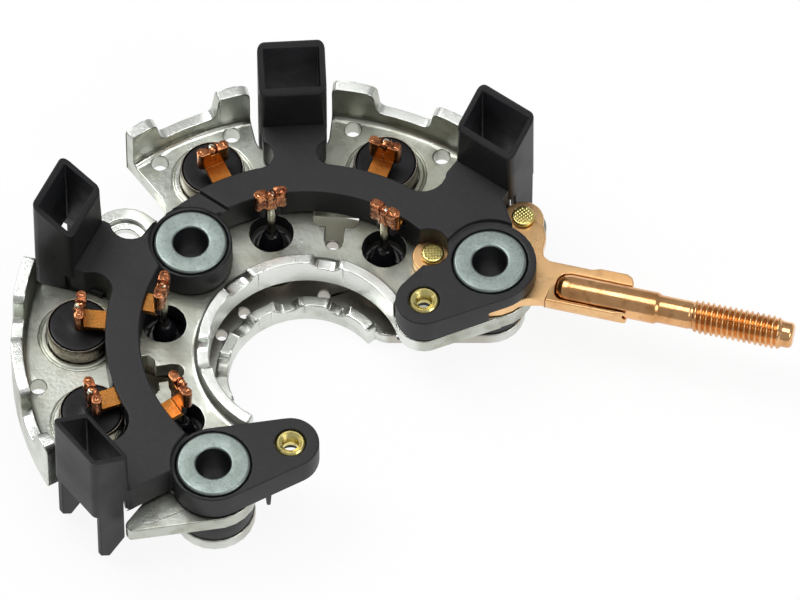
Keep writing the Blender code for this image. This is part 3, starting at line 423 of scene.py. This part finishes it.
def paint_bore_shade(mesh, spots, reach, above=0.0):
    """Paints shade on upright walls that face a spot within reach of them, as in the unlit depth of a bore.
    """
    mesh.materials.append(FINISHES["painted_bore_shade"])
    for face in mesh.polygons:
        if abs(face.normal.z) < UPRIGHT and face.center.z > above:
            for spot in spots:
                inward = spot.xy - face.center.xy
                if inward.length < reach and inward.normalized().dot(face.normal.xy) > FACING:
                    face.material_index = 1


def bevel_edges(bm, edges, reach, segments):
    bmesh.ops.bevel(bm, geom=edges, offset=reach, segments=segments, profile=0.5, affect="EDGES", material=-1)


def round_tab_corners(bm, height, reach):
    """Rounds the upper corners of the tabs or teeth that end at a height."""
    corners = []
    for edge in bm.edges:
        one, two = (vert.co for vert in edge.verts)
        if min(one.z, two.z) > height - LEVEL_SLACK and max(one.z, two.z) < height + LEVEL_SLACK:
            outward = ((one + two) / 2 - SHAFT).xy.normalized()
            across = abs((two - one).xy.normalized().dot(outward)) > CROSSWISE
            if (two - one).length < WALL_THICK_MAX and across:
                if len(edge.link_faces) == 2 and edge.calc_face_angle() > TAB_CORNER:
                    corners.append(edge)
    bevel_edges(bm, corners, reach, CORNER_SEGMENTS)


def round_guide_corners(bm, reach):
    """Rounds the upright outer corners of the lead guides."""
    corners = []
    for edge in bm.edges:
        one, two = (vert.co for vert in edge.verts)
        tall = abs(one.z - two.z)
        upright = tall > GUIDE_TALL_MIN and tall > PLUMB * (one - two).length
        if upright and max(one.z, two.z) > GUIDE_TOP_MIN:
            if len(edge.link_faces) == 2 and edge.calc_face_angle_signed() > GUIDE_CORNER:
                corners.append(edge)
    bevel_edges(bm, corners, reach, CORNER_SEGMENTS)


def rounded_copy(node, radius, finish=None, tabs=(), guide_round=0.0):
    """The node's own form with its sharp edges rounded over."""
    bm = bmesh.new()
    bm.from_mesh(bpy.data.objects[node].data)
    bmesh.ops.remove_doubles(bm, verts=bm.verts, dist=MERGE_DISTANCE)
    bmesh.ops.dissolve_limit(bm, angle_limit=FLAT_ANGLE, verts=bm.verts, edges=bm.edges)
    for height, reach in tabs:
        round_tab_corners(bm, height, reach)
    if guide_round:
        round_guide_corners(bm, guide_round)
    bmesh.ops.connect_verts_concave(bm, faces=bm.faces)
    piece = new_piece("rounded_" + node, mesh_from(bm, "rounded_" + node), node, finish)
    bevel = piece.modifiers.new("rounding", "BEVEL")
    bevel.width = radius
    bevel.segments = ROUNDING_SEGMENTS
    bevel.limit_method = "ANGLE"
    bevel.angle_limit = ROUNDING_ANGLE
    bevel.use_clamp_overlap = False
    bevel.loop_slide = True
    weighted = piece.modifiers.new("shading", "WEIGHTED_NORMAL")
    weighted.weight = SHADING_WEIGHT
    weighted.keep_sharp = False
    return piece


def rounded_outline(points, radius):
    """The profile's corners, each replaced by a short arc; corners on the axis stay."""
    softened = []
    for i, point in enumerate(points):
        here = Vector(point)
        before = Vector(points[i - 1]) - here
        after = Vector(points[(i + 1) % len(points)]) - here
        if here.x < ON_AXIS or before.length < NO_LENGTH or after.length < NO_LENGTH:
            softened.append(tuple(here))
            continue
        reach = min(radius, before.length * ARC_SHARE, after.length * ARC_SHARE)
        first, last = here + before.normalized() * reach, here + after.normalized() * reach
        for k in range(ARC_STEPS + 1):
            t = k / ARC_STEPS
            softened.append(tuple(first * (1 - t) ** 2 + here * 2 * t * (1 - t) + last * t ** 2))
    return softened


def spin_profile(bm, points, closed, steps, climb=0.0):
    """Spins a (radius, height) profile once round the vertical axis, climbing as it goes."""
    loop = [bm.verts.new((r, 0, z)) for r, z in points]
    pairs = zip(loop, loop[1:] + loop[:1]) if closed else zip(loop, loop[1:])
    edges = [bm.edges.new(pair) for pair in pairs]
    bmesh.ops.spin(bm, geom=loop + edges, cent=(0, 0, 0), axis=(0, 0, 1), dvec=(0, 0, climb / steps),
                   angle=2 * math.pi, steps=steps, use_merge=closed)


def turned_mesh(name, profile, spot=(0, 0), steps=SMALL_STEPS, smooth=SMOOTH_ANGLE):
    """A closed (radius, height) profile spun round a vertical axis at a spot."""
    bm = bmesh.new()
    spin_profile(bm, [(max(r, 0), z) for r, z in profile], closed=True, steps=steps)
    bmesh.ops.remove_doubles(bm, verts=bm.verts, dist=SPIN_MERGE)
    bmesh.ops.dissolve_degenerate(bm, edges=bm.edges, dist=SPIN_SLIVER)
    bmesh.ops.recalc_face_normals(bm, faces=bm.faces)
    bmesh.ops.translate(bm, verts=bm.verts, vec=(spot[0], spot[1], 0))
    mesh = mesh_from(bm, name)
    mesh.set_sharp_from_angle(angle=smooth)
    return mesh


def turned(name, node, profile, soft, steps, finish=None):
    spot = centre(node)
    mesh = turned_mesh(name, rounded_outline(profile, soft), (spot.x, spot.y), steps)
    return new_piece(name, mesh, node, finish)


# Turned pieces: their outer sizes come from the frame, their inner ones are named here
SLEEVE_SHANK_R = 4.6 * MM
SLEEVE_BORE_R = 3.1 * MM
SLEEVE_FACE_THICK = 1.5 * MM
SLEEVE_COUNTERSINK = 0.25 * MM
SLEEVE_EDGE = (0.35 * MM, 0.3 * MM)
SLEEVE_SOFT = 0.15 * MM
BORE_SLACK = 0.1 * MM          # added to a radius to find the walls of a bore
BUSH_SPIGOT_R = 5.5 * MM
BUSH_BORE_R = 4.9 * MM
BUSH_SHOULDER = 4.5 * MM       # above the bush's foot
BUSH_SOFT = 0.3 * MM
PIN_HOLE_R = 3.9 * MM          # of the upper heat sink's holes round the lower diodes' pins


def sleeve(key):
    low, high = box(f"mounting_sleeve_{key}")
    face_r = (high.x - low.x) / 2
    collar_foot = high.z - SLEEVE_FACE_THICK
    profile = [(SLEEVE_BORE_R + SLEEVE_COUNTERSINK, high.z), (SLEEVE_BORE_R, high.z - SLEEVE_COUNTERSINK),
               (SLEEVE_BORE_R, low.z), (SLEEVE_SHANK_R, low.z), (SLEEVE_SHANK_R, collar_foot),
               (face_r, collar_foot), (face_r, high.z - SLEEVE_EDGE[1]), (face_r - SLEEVE_EDGE[0], high.z)]
    piece = turned(f"steel_sleeve_{key}", f"mounting_sleeve_{key}", profile, SLEEVE_SOFT, ROUND_STEPS)
    # Painted shade down the sleeve's bore
    paint_bore_shade(piece.data, [centre(f"mounting_sleeve_{key}")], SLEEVE_BORE_R + BORE_SLACK)


def bush(key):
    low, high = box(f"insulating_bush_{key}")
    outer = (high.x - low.x) / 2
    shoulder = low.z + BUSH_SHOULDER
    profile = [(BUSH_BORE_R, low.z), (outer, low.z), (outer, shoulder), (BUSH_SPIGOT_R, shoulder),
               (BUSH_SPIGOT_R, high.z), (BUSH_BORE_R, high.z)]
    turned(f"moulded_bush_{key}", f"insulating_bush_{key}", profile, BUSH_SOFT, ROUND_STEPS)


# Diodes: a cup, the resin in it, and the pin in the resin
CASE_WALL = 0.35 * MM
CASE_LIP = 0.2 * MM
CASE_LIP_DEPTH = 0.6 * MM
CASE_RIM_DROP = (0.05 * MM, 0.1 * MM)     # at its outer and inner edge
CASE_CUP = 2.2 * MM
CASE_CHAMFER = 0.5 * MM
CASE_SOFT = 0.18 * MM
RESIN_SOFT = 0.4 * MM
# The resin's top from its edge inward: (inset from the edge or radius, height above the case's rim)
RESIN_EDGE = ((0, -0.25 * MM), (0.15 * MM, -0.05 * MM))
FLAT_RESIN_INSET = (1.2 * MM, -0.02 * MM)
FLAT_RESIN = ((2.2 * MM, 0), (1.3 * MM, 0.1 * MM))
FLAT_RESIN_RISE = 0.45 * MM    # resin drawn up the upper diodes' pins
CONE_BASE_R = 3.3 * MM
CONE_TOP_R = 1.3 * MM
# The lower diodes' cone: (radius, share of the cone's height)
CONE = ((CONE_BASE_R + 0.6 * MM, 0), (CONE_BASE_R - 0.2 * MM, 0.12), (CONE_TOP_R * 1.35, 0.72),
        (CONE_TOP_R, 0.93))
PIN_R = 0.75 * MM
PIN_TIP = (0.6, 0.5)           # its radius and its height, as shares of the pin's radius
PIN_FIT = 0.02 * MM
PIN_SEAT = 1.5 * MM
PIN_SOFT = 0.2 * MM


def diode_cup(deck, number):
    node = f"{deck}_diode_case_{number}"
    low, high = box(node)
    outer = (high.x - low.x) / 2
    inner = outer - CASE_WALL
    profile = [(0, low.z), (outer - CASE_CHAMFER, low.z), (outer, low.z + CASE_CHAMFER),
               (outer, high.z - CASE_LIP_DEPTH), (outer - CASE_LIP, high.z - CASE_RIM_DROP[0]),
               (inner, high.z - CASE_RIM_DROP[1]), (inner, high.z - CASE_CUP), (0, high.z - CASE_CUP)]
    turned(f"{deck}_cup_{number}", node, profile, CASE_SOFT, ROUND_STEPS)


def diode_resin(deck, number):
    node = f"{deck}_diode_resin_{number}"
    low, high = box(node)
    outer = (high.x - low.x) / 2
    rim = box(f"{deck}_diode_case_{number}")[1].z
    bore = PIN_R + PIN_FIT
    profile = [(0, low.z), (outer, low.z)] + [(outer - inset, rim + rise) for inset, rise in RESIN_EDGE]
    if deck == "upper":
        profile += [(outer - FLAT_RESIN_INSET[0], rim + FLAT_RESIN_INSET[1])]
        profile += [(radius, rim + rise) for radius, rise in FLAT_RESIN] + [(bore, rim + FLAT_RESIN_RISE)]
    else:
        profile += [(radius, rim + share * (high.z - rim)) for radius, share in CONE] + [(bore, high.z)]
    profile += [(bore, rim - PIN_SEAT), (0, rim - PIN_SEAT)]
    turned(f"{deck}_potting_{number}", node, profile, RESIN_SOFT, SMALL_STEPS,
           finish="wet_resin" if deck == "lower" else None)


def diode_pin(deck, number):
    node = f"{deck}_diode_lead_{number}"
    low, high = box(node)
    profile = [(0, low.z), (PIN_R, low.z), (PIN_R, high.z - PIN_TIP[1] * PIN_R),
               (PIN_TIP[0] * PIN_R, high.z), (0, high.z)]
    turned(f"{deck}_pin_{number}", node, profile, PIN_SOFT, PIN_STEPS)


# Threaded inserts
INSERT_BORE_R = 1.5 * MM
INSERT_PITCH = 0.7 * MM
INSERT_THREAD_DEPTH = 0.3 * MM
INSERT_LEAD = 0.35 * MM        # chamfer at the mouth
INSERT_FLARE = 1.6 * INSERT_LEAD


def threaded_insert(key):
    node = f"threaded_insert_{key}"
    low, high = box(node)
    outer = (high.x - low.x) / 2
    bore = [(INSERT_BORE_R + INSERT_FLARE, high.z), (INSERT_BORE_R, high.z - INSERT_LEAD)]
    for turn in range(int((high.z - low.z - 2 * INSERT_LEAD) / INSERT_PITCH)):
        top = high.z - INSERT_LEAD - turn * INSERT_PITCH
        bore += [(INSERT_BORE_R + INSERT_THREAD_DEPTH, top - 0.5 * INSERT_PITCH),
                 (INSERT_BORE_R, top - INSERT_PITCH)]
    profile = bore + [(INSERT_BORE_R, low.z), (outer, low.z), (outer, high.z - INSERT_LEAD),
                      (outer - INSERT_LEAD, high.z)]
    spot = centre(node)
    mesh = turned_mesh(f"brass_insert_{key}", profile, (spot.x, spot.y), FASTENER_STEPS, smooth=CRISP_ANGLE)
    new_piece(f"brass_insert_{key}", mesh, node)


# Rivets with a knurled head
RIVET_HEAD = 0.9 * MM
RIVET_SHANK_R = 1.3 * MM
RIVET_EDGE = 0.3 * MM
RIVET_SINK = 0.12 * MM         # the turned head under the knurling
RIVET_SOFT = 0.12 * MM
KNURL_PITCH = 0.5 * MM
KNURL_TALL = 0.22 * MM
KNURL_MARGIN = 0.42 * MM
KNURL_SKIRT = 0.3 * MM
KNURL_SINK = 0.2 * MM
KNURL_TURNS = {1: math.radians(38), 2: math.radians(3)}


def knurled_rivet(number):
    node = f"bar_rivet_{number}"
    low, high = box(node)
    outer = (high.x - low.x) / 2
    under, top = high.z - RIVET_HEAD, high.z - RIVET_SINK
    profile = [(0, low.z), (RIVET_SHANK_R, low.z), (RIVET_SHANK_R, under), (outer, under),
               (outer, high.z - RIVET_EDGE), (outer - RIVET_EDGE, top), (0, top)]
    spot = centre(node)
    name = f"knurled_rivet_{number}"
    mesh = turned_mesh(name, rounded_outline(profile, RIVET_SOFT), (spot.x, spot.y), FASTENER_STEPS)

    # The knurling: a grid of small points on the head
    bm = bmesh.new()
    cells = int(2 * outer / KNURL_PITCH)
    bmesh.ops.create_grid(bm, x_segments=cells, y_segments=cells, size=outer)
    bmesh.ops.rotate(bm, verts=bm.verts, cent=(0, 0, 0), matrix=Matrix.Rotation(KNURL_TURNS[number], 3, "Z"))
    outside = [face for face in bm.faces if face.calc_center_median().length > outer - KNURL_MARGIN]
    bmesh.ops.delete(bm, geom=outside, context="FACES")
    tops = bmesh.ops.poke(bm, faces=bm.faces, offset=0.0)["verts"]
    bmesh.ops.translate(bm, verts=tops, vec=(0, 0, KNURL_TALL))
    rim = [edge for edge in bm.edges if edge.is_boundary]
    skirt = bmesh.ops.extrude_edge_only(bm, edges=rim)["geom"]
    foot = [vert for vert in skirt if isinstance(vert, bmesh.types.BMVert)]
    bmesh.ops.translate(bm, verts=foot, vec=(0, 0, -KNURL_SKIRT))
    bmesh.ops.holes_fill(bm, edges=[edge for edge in bm.edges if edge.is_boundary], sides=0)
    bmesh.ops.recalc_face_normals(bm, faces=bm.faces)
    bmesh.ops.translate(bm, verts=bm.verts, vec=(spot.x, spot.y, high.z - KNURL_SINK))
    bm.from_mesh(mesh)
    bm.to_mesh(mesh)
    bm.free()
    mesh.set_sharp_from_angle(angle=CRISP_ANGLE)
    new_piece(name, mesh, node)


# Output stud: sizes along its axis, from the mounting sleeve that the bar turns round
STUD_HEADING = math.radians(-13.5)
STUD_R = 2.85 * MM
STUD_NECK_R = 2.5 * MM
STUD_SOFT = 0.25 * MM
# Rounded start of the shank: (share of its radius, distance from its start)
STUD_NOSE = ((0.62, 0.25 * MM), (0.92, 1.2 * MM), (1.0, 2.2 * MM))
NECK_SLOPE = (0.2 * MM, 0.35 * MM)     # before and after the start of the neck
THREAD_SLOPE = 0.2 * MM
POINT_SLOPE = 0.3 * MM
POINT_CHAMFER = 0.5 * MM
THREAD_R = 3.0 * MM
THREAD_DEPTH = 0.55 * MM
THREAD_PITCH = 1.0 * MM
THREAD_STEPS = 48
THREAD_MERGE = 0.01 * MM
CORE_SINK = 0.05 * MM          # of the core below the foot of the thread
FIRST_CREST = 0.75             # height of the first and the last crest, as a share of the others
# One crest: (share of the pitch, share of the depth)
CREST = ((0.0, 0.0), (0.40, 0.92), (0.47, 1.0), (0.56, 1.0), (0.63, 0.92))
POINT_R = 2.3 * MM
STUD_STATIONS = (12.2 * MM, 30.6 * MM, 36.5 * MM, 53.0 * MM, 55.3 * MM)


def output_stud():
    start, neck, thread, point, end = STUD_STATIONS
    core = THREAD_R - THREAD_DEPTH - CORE_SINK
    body = [(0, start)] + [(STUD_R * share, start + along) for share, along in STUD_NOSE]
    body += [(STUD_R, neck - NECK_SLOPE[0]), (STUD_NECK_R, neck + NECK_SLOPE[1]), (STUD_NECK_R, thread),
             (core, thread + THREAD_SLOPE), (core, point), (POINT_R, point + POINT_SLOPE),
             (POINT_R, end - POINT_CHAMFER), (POINT_R - POINT_CHAMFER, end), (0, end)]
    mesh = turned_mesh("stud_body", rounded_outline(body, STUD_SOFT))

    # The thread: a row of crests, spun so that each turn climbs one pitch
    bm = bmesh.new()
    crests = int((point - thread) / THREAD_PITCH)
    points = []
    for crest in range(crests):
        tall = min(1.0, FIRST_CREST + (1 - FIRST_CREST) * min(crest, crests - 1 - crest)) * THREAD_DEPTH
        points += [(core + tall * up, thread + THREAD_PITCH * (crest + along)) for along, up in CREST]
    points.append((core, thread + THREAD_PITCH * crests))
    spin_profile(bm, points, closed=False, steps=THREAD_STEPS, climb=THREAD_PITCH)
    bmesh.ops.remove_doubles(bm, verts=bm.verts, dist=THREAD_MERGE)
    bmesh.ops.holes_fill(bm, edges=[edge for edge in bm.edges if edge.is_boundary], sides=0)
    bmesh.ops.recalc_face_normals(bm, faces=bm.faces)
    bm.from_mesh(mesh)
    low, high = box("output_stud")
    spot = centre("mounting_sleeve_b")
    lay_down = (Matrix.Translation((spot.x, spot.y, (low.z + high.z) / 2))
                @ Matrix.Rotation(STUD_HEADING, 4, "Z") @ Matrix.Rotation(math.radians(90), 4, "Y"))
    bmesh.ops.transform(bm, matrix=lay_down, verts=bm.verts)
    bm.to_mesh(mesh)
    bm.free()
    mesh.shade_smooth()
    mesh.set_sharp_from_angle(angle=SMOOTH_ANGLE)
    new_piece("copper_stud", mesh, "output_stud", "burnished_copper")


# Phase terminals: jaws pressed and welded round each pin
TERMINAL_SOFT = 0.15 * MM
JAW_WIDTH = 5.6 * MM
JAW_DEPTH = 1.7 * MM
JAW_HEIGHT = 4.7 * MM
JAW_CUTS = 13
JAW_SET_BACK = {"upper": 0.35 * MM, "lower": 0.0}
JAW_NOTCH = 0.7 * MM
JAW_NOTCH_PITCH = 0.85         # as a share of half the width
JAW_PINCH = 0.14
JAW_END = 0.3                  # thickness at the very end, as a share of the whole
JAW_DROOP = (0.25, 0.3)        # fall of the top towards its sides and its ends
JAW_RISE = 0.35 * MM           # weld above the tip of the pin
JAW_GRAIN = 1.0 * MM           # size of the lumps that the weld leaves
JAW_FINER = 2.6                # a second, finer grain of lumps
JAW_LUMP = 0.18 * MM
LUMP_SEED = 7                  # unseeded, noise_vector takes its offsets from the clock
UPPER_JAW_DROP = 2.6 * MM      # upper diodes' jaws below those of the lower diodes
CRIMP_FOOT = 4.2 * MM          # top of the crimp's feet, below the top of the terminal
CRIMP_REACH = 3.4 * MM
CRIMP_HALF_DEPTH = 1.1 * MM

noise.seed_set(LUMP_SEED)


def finish_crimps(mesh, pins, below):
    """Browned by the weld round each pin, and given painted shade where the first pin's feet hang in a hole.
    """
    mesh.materials.append(FINISHES["painted_bore_shade"])
    mesh.materials.append(FINISHES["welded_copper"])
    for pin in pins:
        outward = (pin.xy - SHAFT.xy).normalized()
        for face in mesh.polygons:
            from_pin = face.center.xy - pin.xy
            if from_pin.length < CRIMP_REACH and abs(from_pin.dot(outward)) < CRIMP_HALF_DEPTH:
                face.material_index = 1 if face.center.z < below and pin == pins[0] else 2


def welded_jaws(deck, phase):
    """A folded tab pressed and welded round a pin: a lumpy bar with worn notches in its top."""
    spot = centre(f"{deck}_diode_lead_{phase}")
    top = box(f"phase_terminal_{phase}")[1].z + JAW_RISE - (UPPER_JAW_DROP if deck == "upper" else 0)
    outward = math.atan2(spot.y - SHAFT.y, spot.x - SHAFT.x) + (0 if deck == "upper" else math.pi)
    bm = bmesh.new()
    bmesh.ops.create_cube(bm, size=2.0)
    bmesh.ops.subdivide_edges(bm, edges=bm.edges, cuts=JAW_CUTS, use_grid_fill=True)
    for vert in bm.verts:
        x, y, z = vert.co
        ripple = math.cos(2 * math.pi * y / JAW_NOTCH_PITCH)
        round_end = JAW_END + (1 - JAW_END) * (1 - abs(y) ** 5) ** 0.5
        pinch = 1 - JAW_PINCH + JAW_PINCH * ripple
        dip = JAW_NOTCH * (0.5 - 0.5 * ripple) * max(z, 0)
        droop = JAW_DROOP[0] * abs(x) ** 4 + JAW_DROOP[1] * abs(y) ** 8
        vert.co = Vector((x * JAW_DEPTH / 2 * pinch * round_end - JAW_SET_BACK[deck], y * JAW_WIDTH / 2,
                          (z * (1 - droop) - 1) * JAW_HEIGHT / 2 - dip))
    place = Matrix.Translation((spot.x, spot.y, top)) @ Matrix.Rotation(outward, 4, "Z")
    bmesh.ops.transform(bm, matrix=place, verts=bm.verts)
    for vert in bm.verts:
        coarse = noise.noise_vector(vert.co / JAW_GRAIN)
        fine = noise.noise_vector(vert.co * JAW_FINER / JAW_GRAIN)
        vert.co += (coarse + 0.5 * fine) * JAW_LUMP
    bmesh.ops.recalc_face_normals(bm, faces=bm.faces)
    name = f"{deck}_jaws_{phase}"
    new_piece(name, mesh_from(bm, name), f"phase_terminal_{phase}", "welded_copper", stands_in=False)


def phase_terminal(phase):
    node = f"phase_terminal_{phase}"
    piece = rounded_copy(node, TERMINAL_SOFT)
    pins = [centre(f"{deck}_diode_lead_{phase}") for deck in ("lower", "upper")]
    finish_crimps(piece.data, pins, box(node)[1].z - CRIMP_FOOT)
    for deck in DECKS:
        welded_jaws(deck, phase)


# Terminal block: its lead guides, as (radius, angle) from the shaft, and small ribs under it
BLOCK_SOFT = 0.30 * MM
GUIDE_PLACES = ((46.8 * MM, 154.6), (47.5 * MM, 93.1), (49.3 * MM, 46.8), (47.8 * MM, 218.6))
GUIDE_REACH = 6.0 * MM
GUIDE_ROUND = 1.3 * MM
GUIDE_SHADE_ABOVE = FACE_HEIGHT + 1.2 * MM
RIB_SOFT = 0.25 * MM
RIB_SEGMENTS = 2
FIRST_GUIDE_HEADING = math.radians(153.4)
SKIRT_SIZE = (13.9 * MM, 1.2 * MM, 11.0 * MM)
SKIRT_FROM_GUIDE = (-2.5 * MM, 4.6 * MM)
SKIRT_TOP = FACE_HEIGHT - 5.0 * MM
WEB_SIZE = (7.4 * MM, 1.0 * MM, 3.2 * MM)
WEB_FROM_GUIDE = (0, -5.5 * MM)
WEB_TOP = FACE_HEIGHT - 1.6 * MM
STUB_SIZE = (1.6 * MM, 1.4 * MM, 8.0 * MM)
STUB_PLACE = SHAFT + Vector((-6.5 * MM, -27.5 * MM, 0))
STUB_TOP = FACE_HEIGHT - 4.6 * MM
STUB_TAPER = 0.45


def guide_axis(radius, degrees):
    angle = math.radians(degrees)
    return SHAFT + Vector((radius * math.cos(angle), radius * math.sin(angle), 0))


def moulded_rib(name, size, place, taper=1.0):
    """A rib of the moulding: a box hung at a place, narrower at its foot where it tapers."""
    bm = bmesh.new()
    bmesh.ops.create_cube(bm, size=1.0)
    bmesh.ops.scale(bm, vec=(taper, taper, 1), verts=[vert for vert in bm.verts if vert.co.z < 0])
    bmesh.ops.scale(bm, vec=size, verts=bm.verts)
    bevel_edges(bm, bm.edges, RIB_SOFT, RIB_SEGMENTS)
    bmesh.ops.transform(bm, verts=bm.verts, matrix=place @ Matrix.Translation((0, 0, -size[2] / 2)))
    mesh = mesh_from(bm, name)
    mesh.set_sharp_from_angle(angle=SMOOTH_ANGLE)
    new_piece(name, mesh, "terminal_block", stands_in=False)


def terminal_block():
    guides = [guide_axis(*place) for place in GUIDE_PLACES]
    piece = rounded_copy("terminal_block", BLOCK_SOFT, guide_round=GUIDE_ROUND)
    # Painted shade inside the mouths of the lead guides
    paint_bore_shade(piece.data, guides, GUIDE_REACH, above=GUIDE_SHADE_ABOVE)

    # Two ribs under the first guide, and the stub under the third boss's arm
    turn = Matrix.Rotation(FIRST_GUIDE_HEADING, 4, "Z")
    for name, size, offset, top in (("stem_skirt", SKIRT_SIZE, SKIRT_FROM_GUIDE, SKIRT_TOP),
                                    ("guide_web", WEB_SIZE, WEB_FROM_GUIDE, WEB_TOP)):
        under_guide = Matrix.Translation((*guides[0].xy, top)) @ turn @ Matrix.Translation((*offset, 0))
        moulded_rib(name, size, under_guide)
    moulded_rib("arm_stub", STUB_SIZE, Matrix.Translation((*STUB_PLACE.xy, STUB_TOP)), STUB_TAPER)


# Heat sinks and output bar
UPPER_SOFT = 0.22 * MM
LOWER_SOFT = 0.30 * MM
BAR_SOFT = 0.25 * MM
TAB_ROUND = 1.5 * MM
TOOTH_ROUND = 0.9 * MM
UPPER_PLATE_TOP = FACE_HEIGHT - 6.4 * MM
UPPER_TOOTH_TALL = 2.5 * MM


def heat_sinks():
    tab_top = box("upper_heat_sink")[1].z
    upper_tooth_top = UPPER_PLATE_TOP + UPPER_TOOTH_TALL
    piece = rounded_copy("upper_heat_sink", UPPER_SOFT,
                         tabs=((tab_top, TAB_ROUND), (upper_tooth_top, TOOTH_ROUND)))
    pins = [centre(f"lower_diode_lead_{number}") for number in NUMBERS]
    # Painted shade on the walls of the holes round the lower diodes' pins
    paint_bore_shade(piece.data, pins, PIN_HOLE_R + BORE_SLACK)
    lower_tooth_top = box("lower_heat_sink")[1].z
    rounded_copy("lower_heat_sink", LOWER_SOFT, finish="painted_shade_aluminium",
                 tabs=((lower_tooth_top, TOOTH_ROUND),))


def dress_bodies():
    heat_sinks()
    terminal_block()
    rounded_copy("output_bar", BAR_SOFT, finish="polished_copper")
    for phase in NUMBERS:
        phase_terminal(phase)
    for key in "abc":
        sleeve(key)
        bush(key)
    for deck in DECKS:
        for number in NUMBERS:
            diode_cup(deck, number)
            diode_resin(deck, number)
            diode_pin(deck, number)
    for key in "bc":
        threaded_insert(key)
    for number in (1, 2):
        knurled_rivet(number)
    output_stud()


# Studio
FLOOR_HALF = 6.0
PAPER = (0.9, 0.9, 0.9, 1)
WHITE = (1, 1, 1, 1)
PAPER_GLOW = 0.9               # share of plain white in what the camera and mirrors see of the floor
WORLD_LIGHT = 0.40
WORLD_SEEN = 1.0
SOFTBOXES = (("key_softbox", (-0.5, 0.35, 0.9), 0.6, 6.0),      # name, place, size, power
             ("fill_softbox", (0.7, -0.5, 0.6), 0.5, 2.4),
             ("top_softbox", (0.1, 0.1, 1.1), 0.5, 2.6))


def white_paper():
    """A diffuse floor that the camera and the metal see as plain white."""
    paper = bpy.data.materials.new("white_paper")
    paper.use_nodes = True
    tree = paper.node_tree
    tree.nodes.clear()
    out = tree.nodes.new("ShaderNodeOutputMaterial")
    diffuse = tree.nodes.new("ShaderNodeBsdfDiffuse")
    diffuse.inputs["Color"].default_value = PAPER
    glow = tree.nodes.new("ShaderNodeEmission")
    mix = tree.nodes.new("ShaderNodeMixShader")
    path = tree.nodes.new("ShaderNodeLightPath")
    seen = math_in(tree, "MAXIMUM", path.outputs["Is Camera Ray"], path.outputs["Is Glossy Ray"])
    tree.links.new(math_in(tree, "MULTIPLY", seen, PAPER_GLOW), mix.inputs["Fac"])
    tree.links.new(diffuse.outputs[0], mix.inputs[1])
    tree.links.new(glow.outputs[0], mix.inputs[2])
    tree.links.new(mix.outputs[0], out.inputs["Surface"])
    return paper


def studio_floor():
    mesh = bpy.data.meshes.new("studio_floor")
    bm = bmesh.new()
    bmesh.ops.create_grid(bm, x_segments=1, y_segments=1, size=FLOOR_HALF)
    bm.to_mesh(mesh)
    bm.free()
    floor = bpy.data.objects.new("studio_floor", mesh)
    bpy.context.collection.objects.link(floor)
    floor.location.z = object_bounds()[0][2]
    floor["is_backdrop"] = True
    mesh.materials.append(white_paper())


def studio_world():
    world = bpy.data.worlds.new("studio")
    bpy.context.scene.world = world
    world.use_nodes = True
    tree = world.node_tree
    background = tree.nodes["Background"]
    path = tree.nodes.new("ShaderNodeLightPath")
    strength = tree.nodes.new("ShaderNodeMapRange")
    strength.inputs["To Min"].default_value = WORLD_LIGHT
    strength.inputs["To Max"].default_value = WORLD_SEEN
    tree.links.new(path.outputs["Is Camera Ray"], strength.inputs["Value"])
    tree.links.new(strength.outputs["Result"], background.inputs["Strength"])
    background.inputs["Color"].default_value = WHITE


def studio_lights():
    for name, spot, size, power in SOFTBOXES:
        lamp = bpy.data.lights.new(name, "AREA")
        lamp.size = size
        lamp.energy = power
        holder = bpy.data.objects.new(name, lamp)
        bpy.context.collection.objects.link(holder)
        holder.location = spot
        holder.rotation_euler = (Vector((0, 0, 0)) - Vector(spot)).to_track_quat("-Z", "Y").to_euler()


def camera():
    data = bpy.data.cameras.new("photo_view")
    data.lens = LENS
    data.sensor_width = SENSOR
    data.clip_end = CLIP_END
    holder = bpy.data.objects.new("photo_view", data)
    bpy.context.collection.objects.link(holder)
    back = Vector((0, -math.cos(VIEW_ELEVATION), math.sin(VIEW_ELEVATION)))
    holder.location = VIEW_CENTRE + back * VIEW_DISTANCE
    holder.rotation_euler = (math.pi / 2 - VIEW_ELEVATION, 0, 0)
    bpy.context.scene.camera = holder


dress_bodies()
studio_floor()
studio_world()
studio_lights()
camera()
bpy.context.scene.view_settings.view_transform = "Standard"
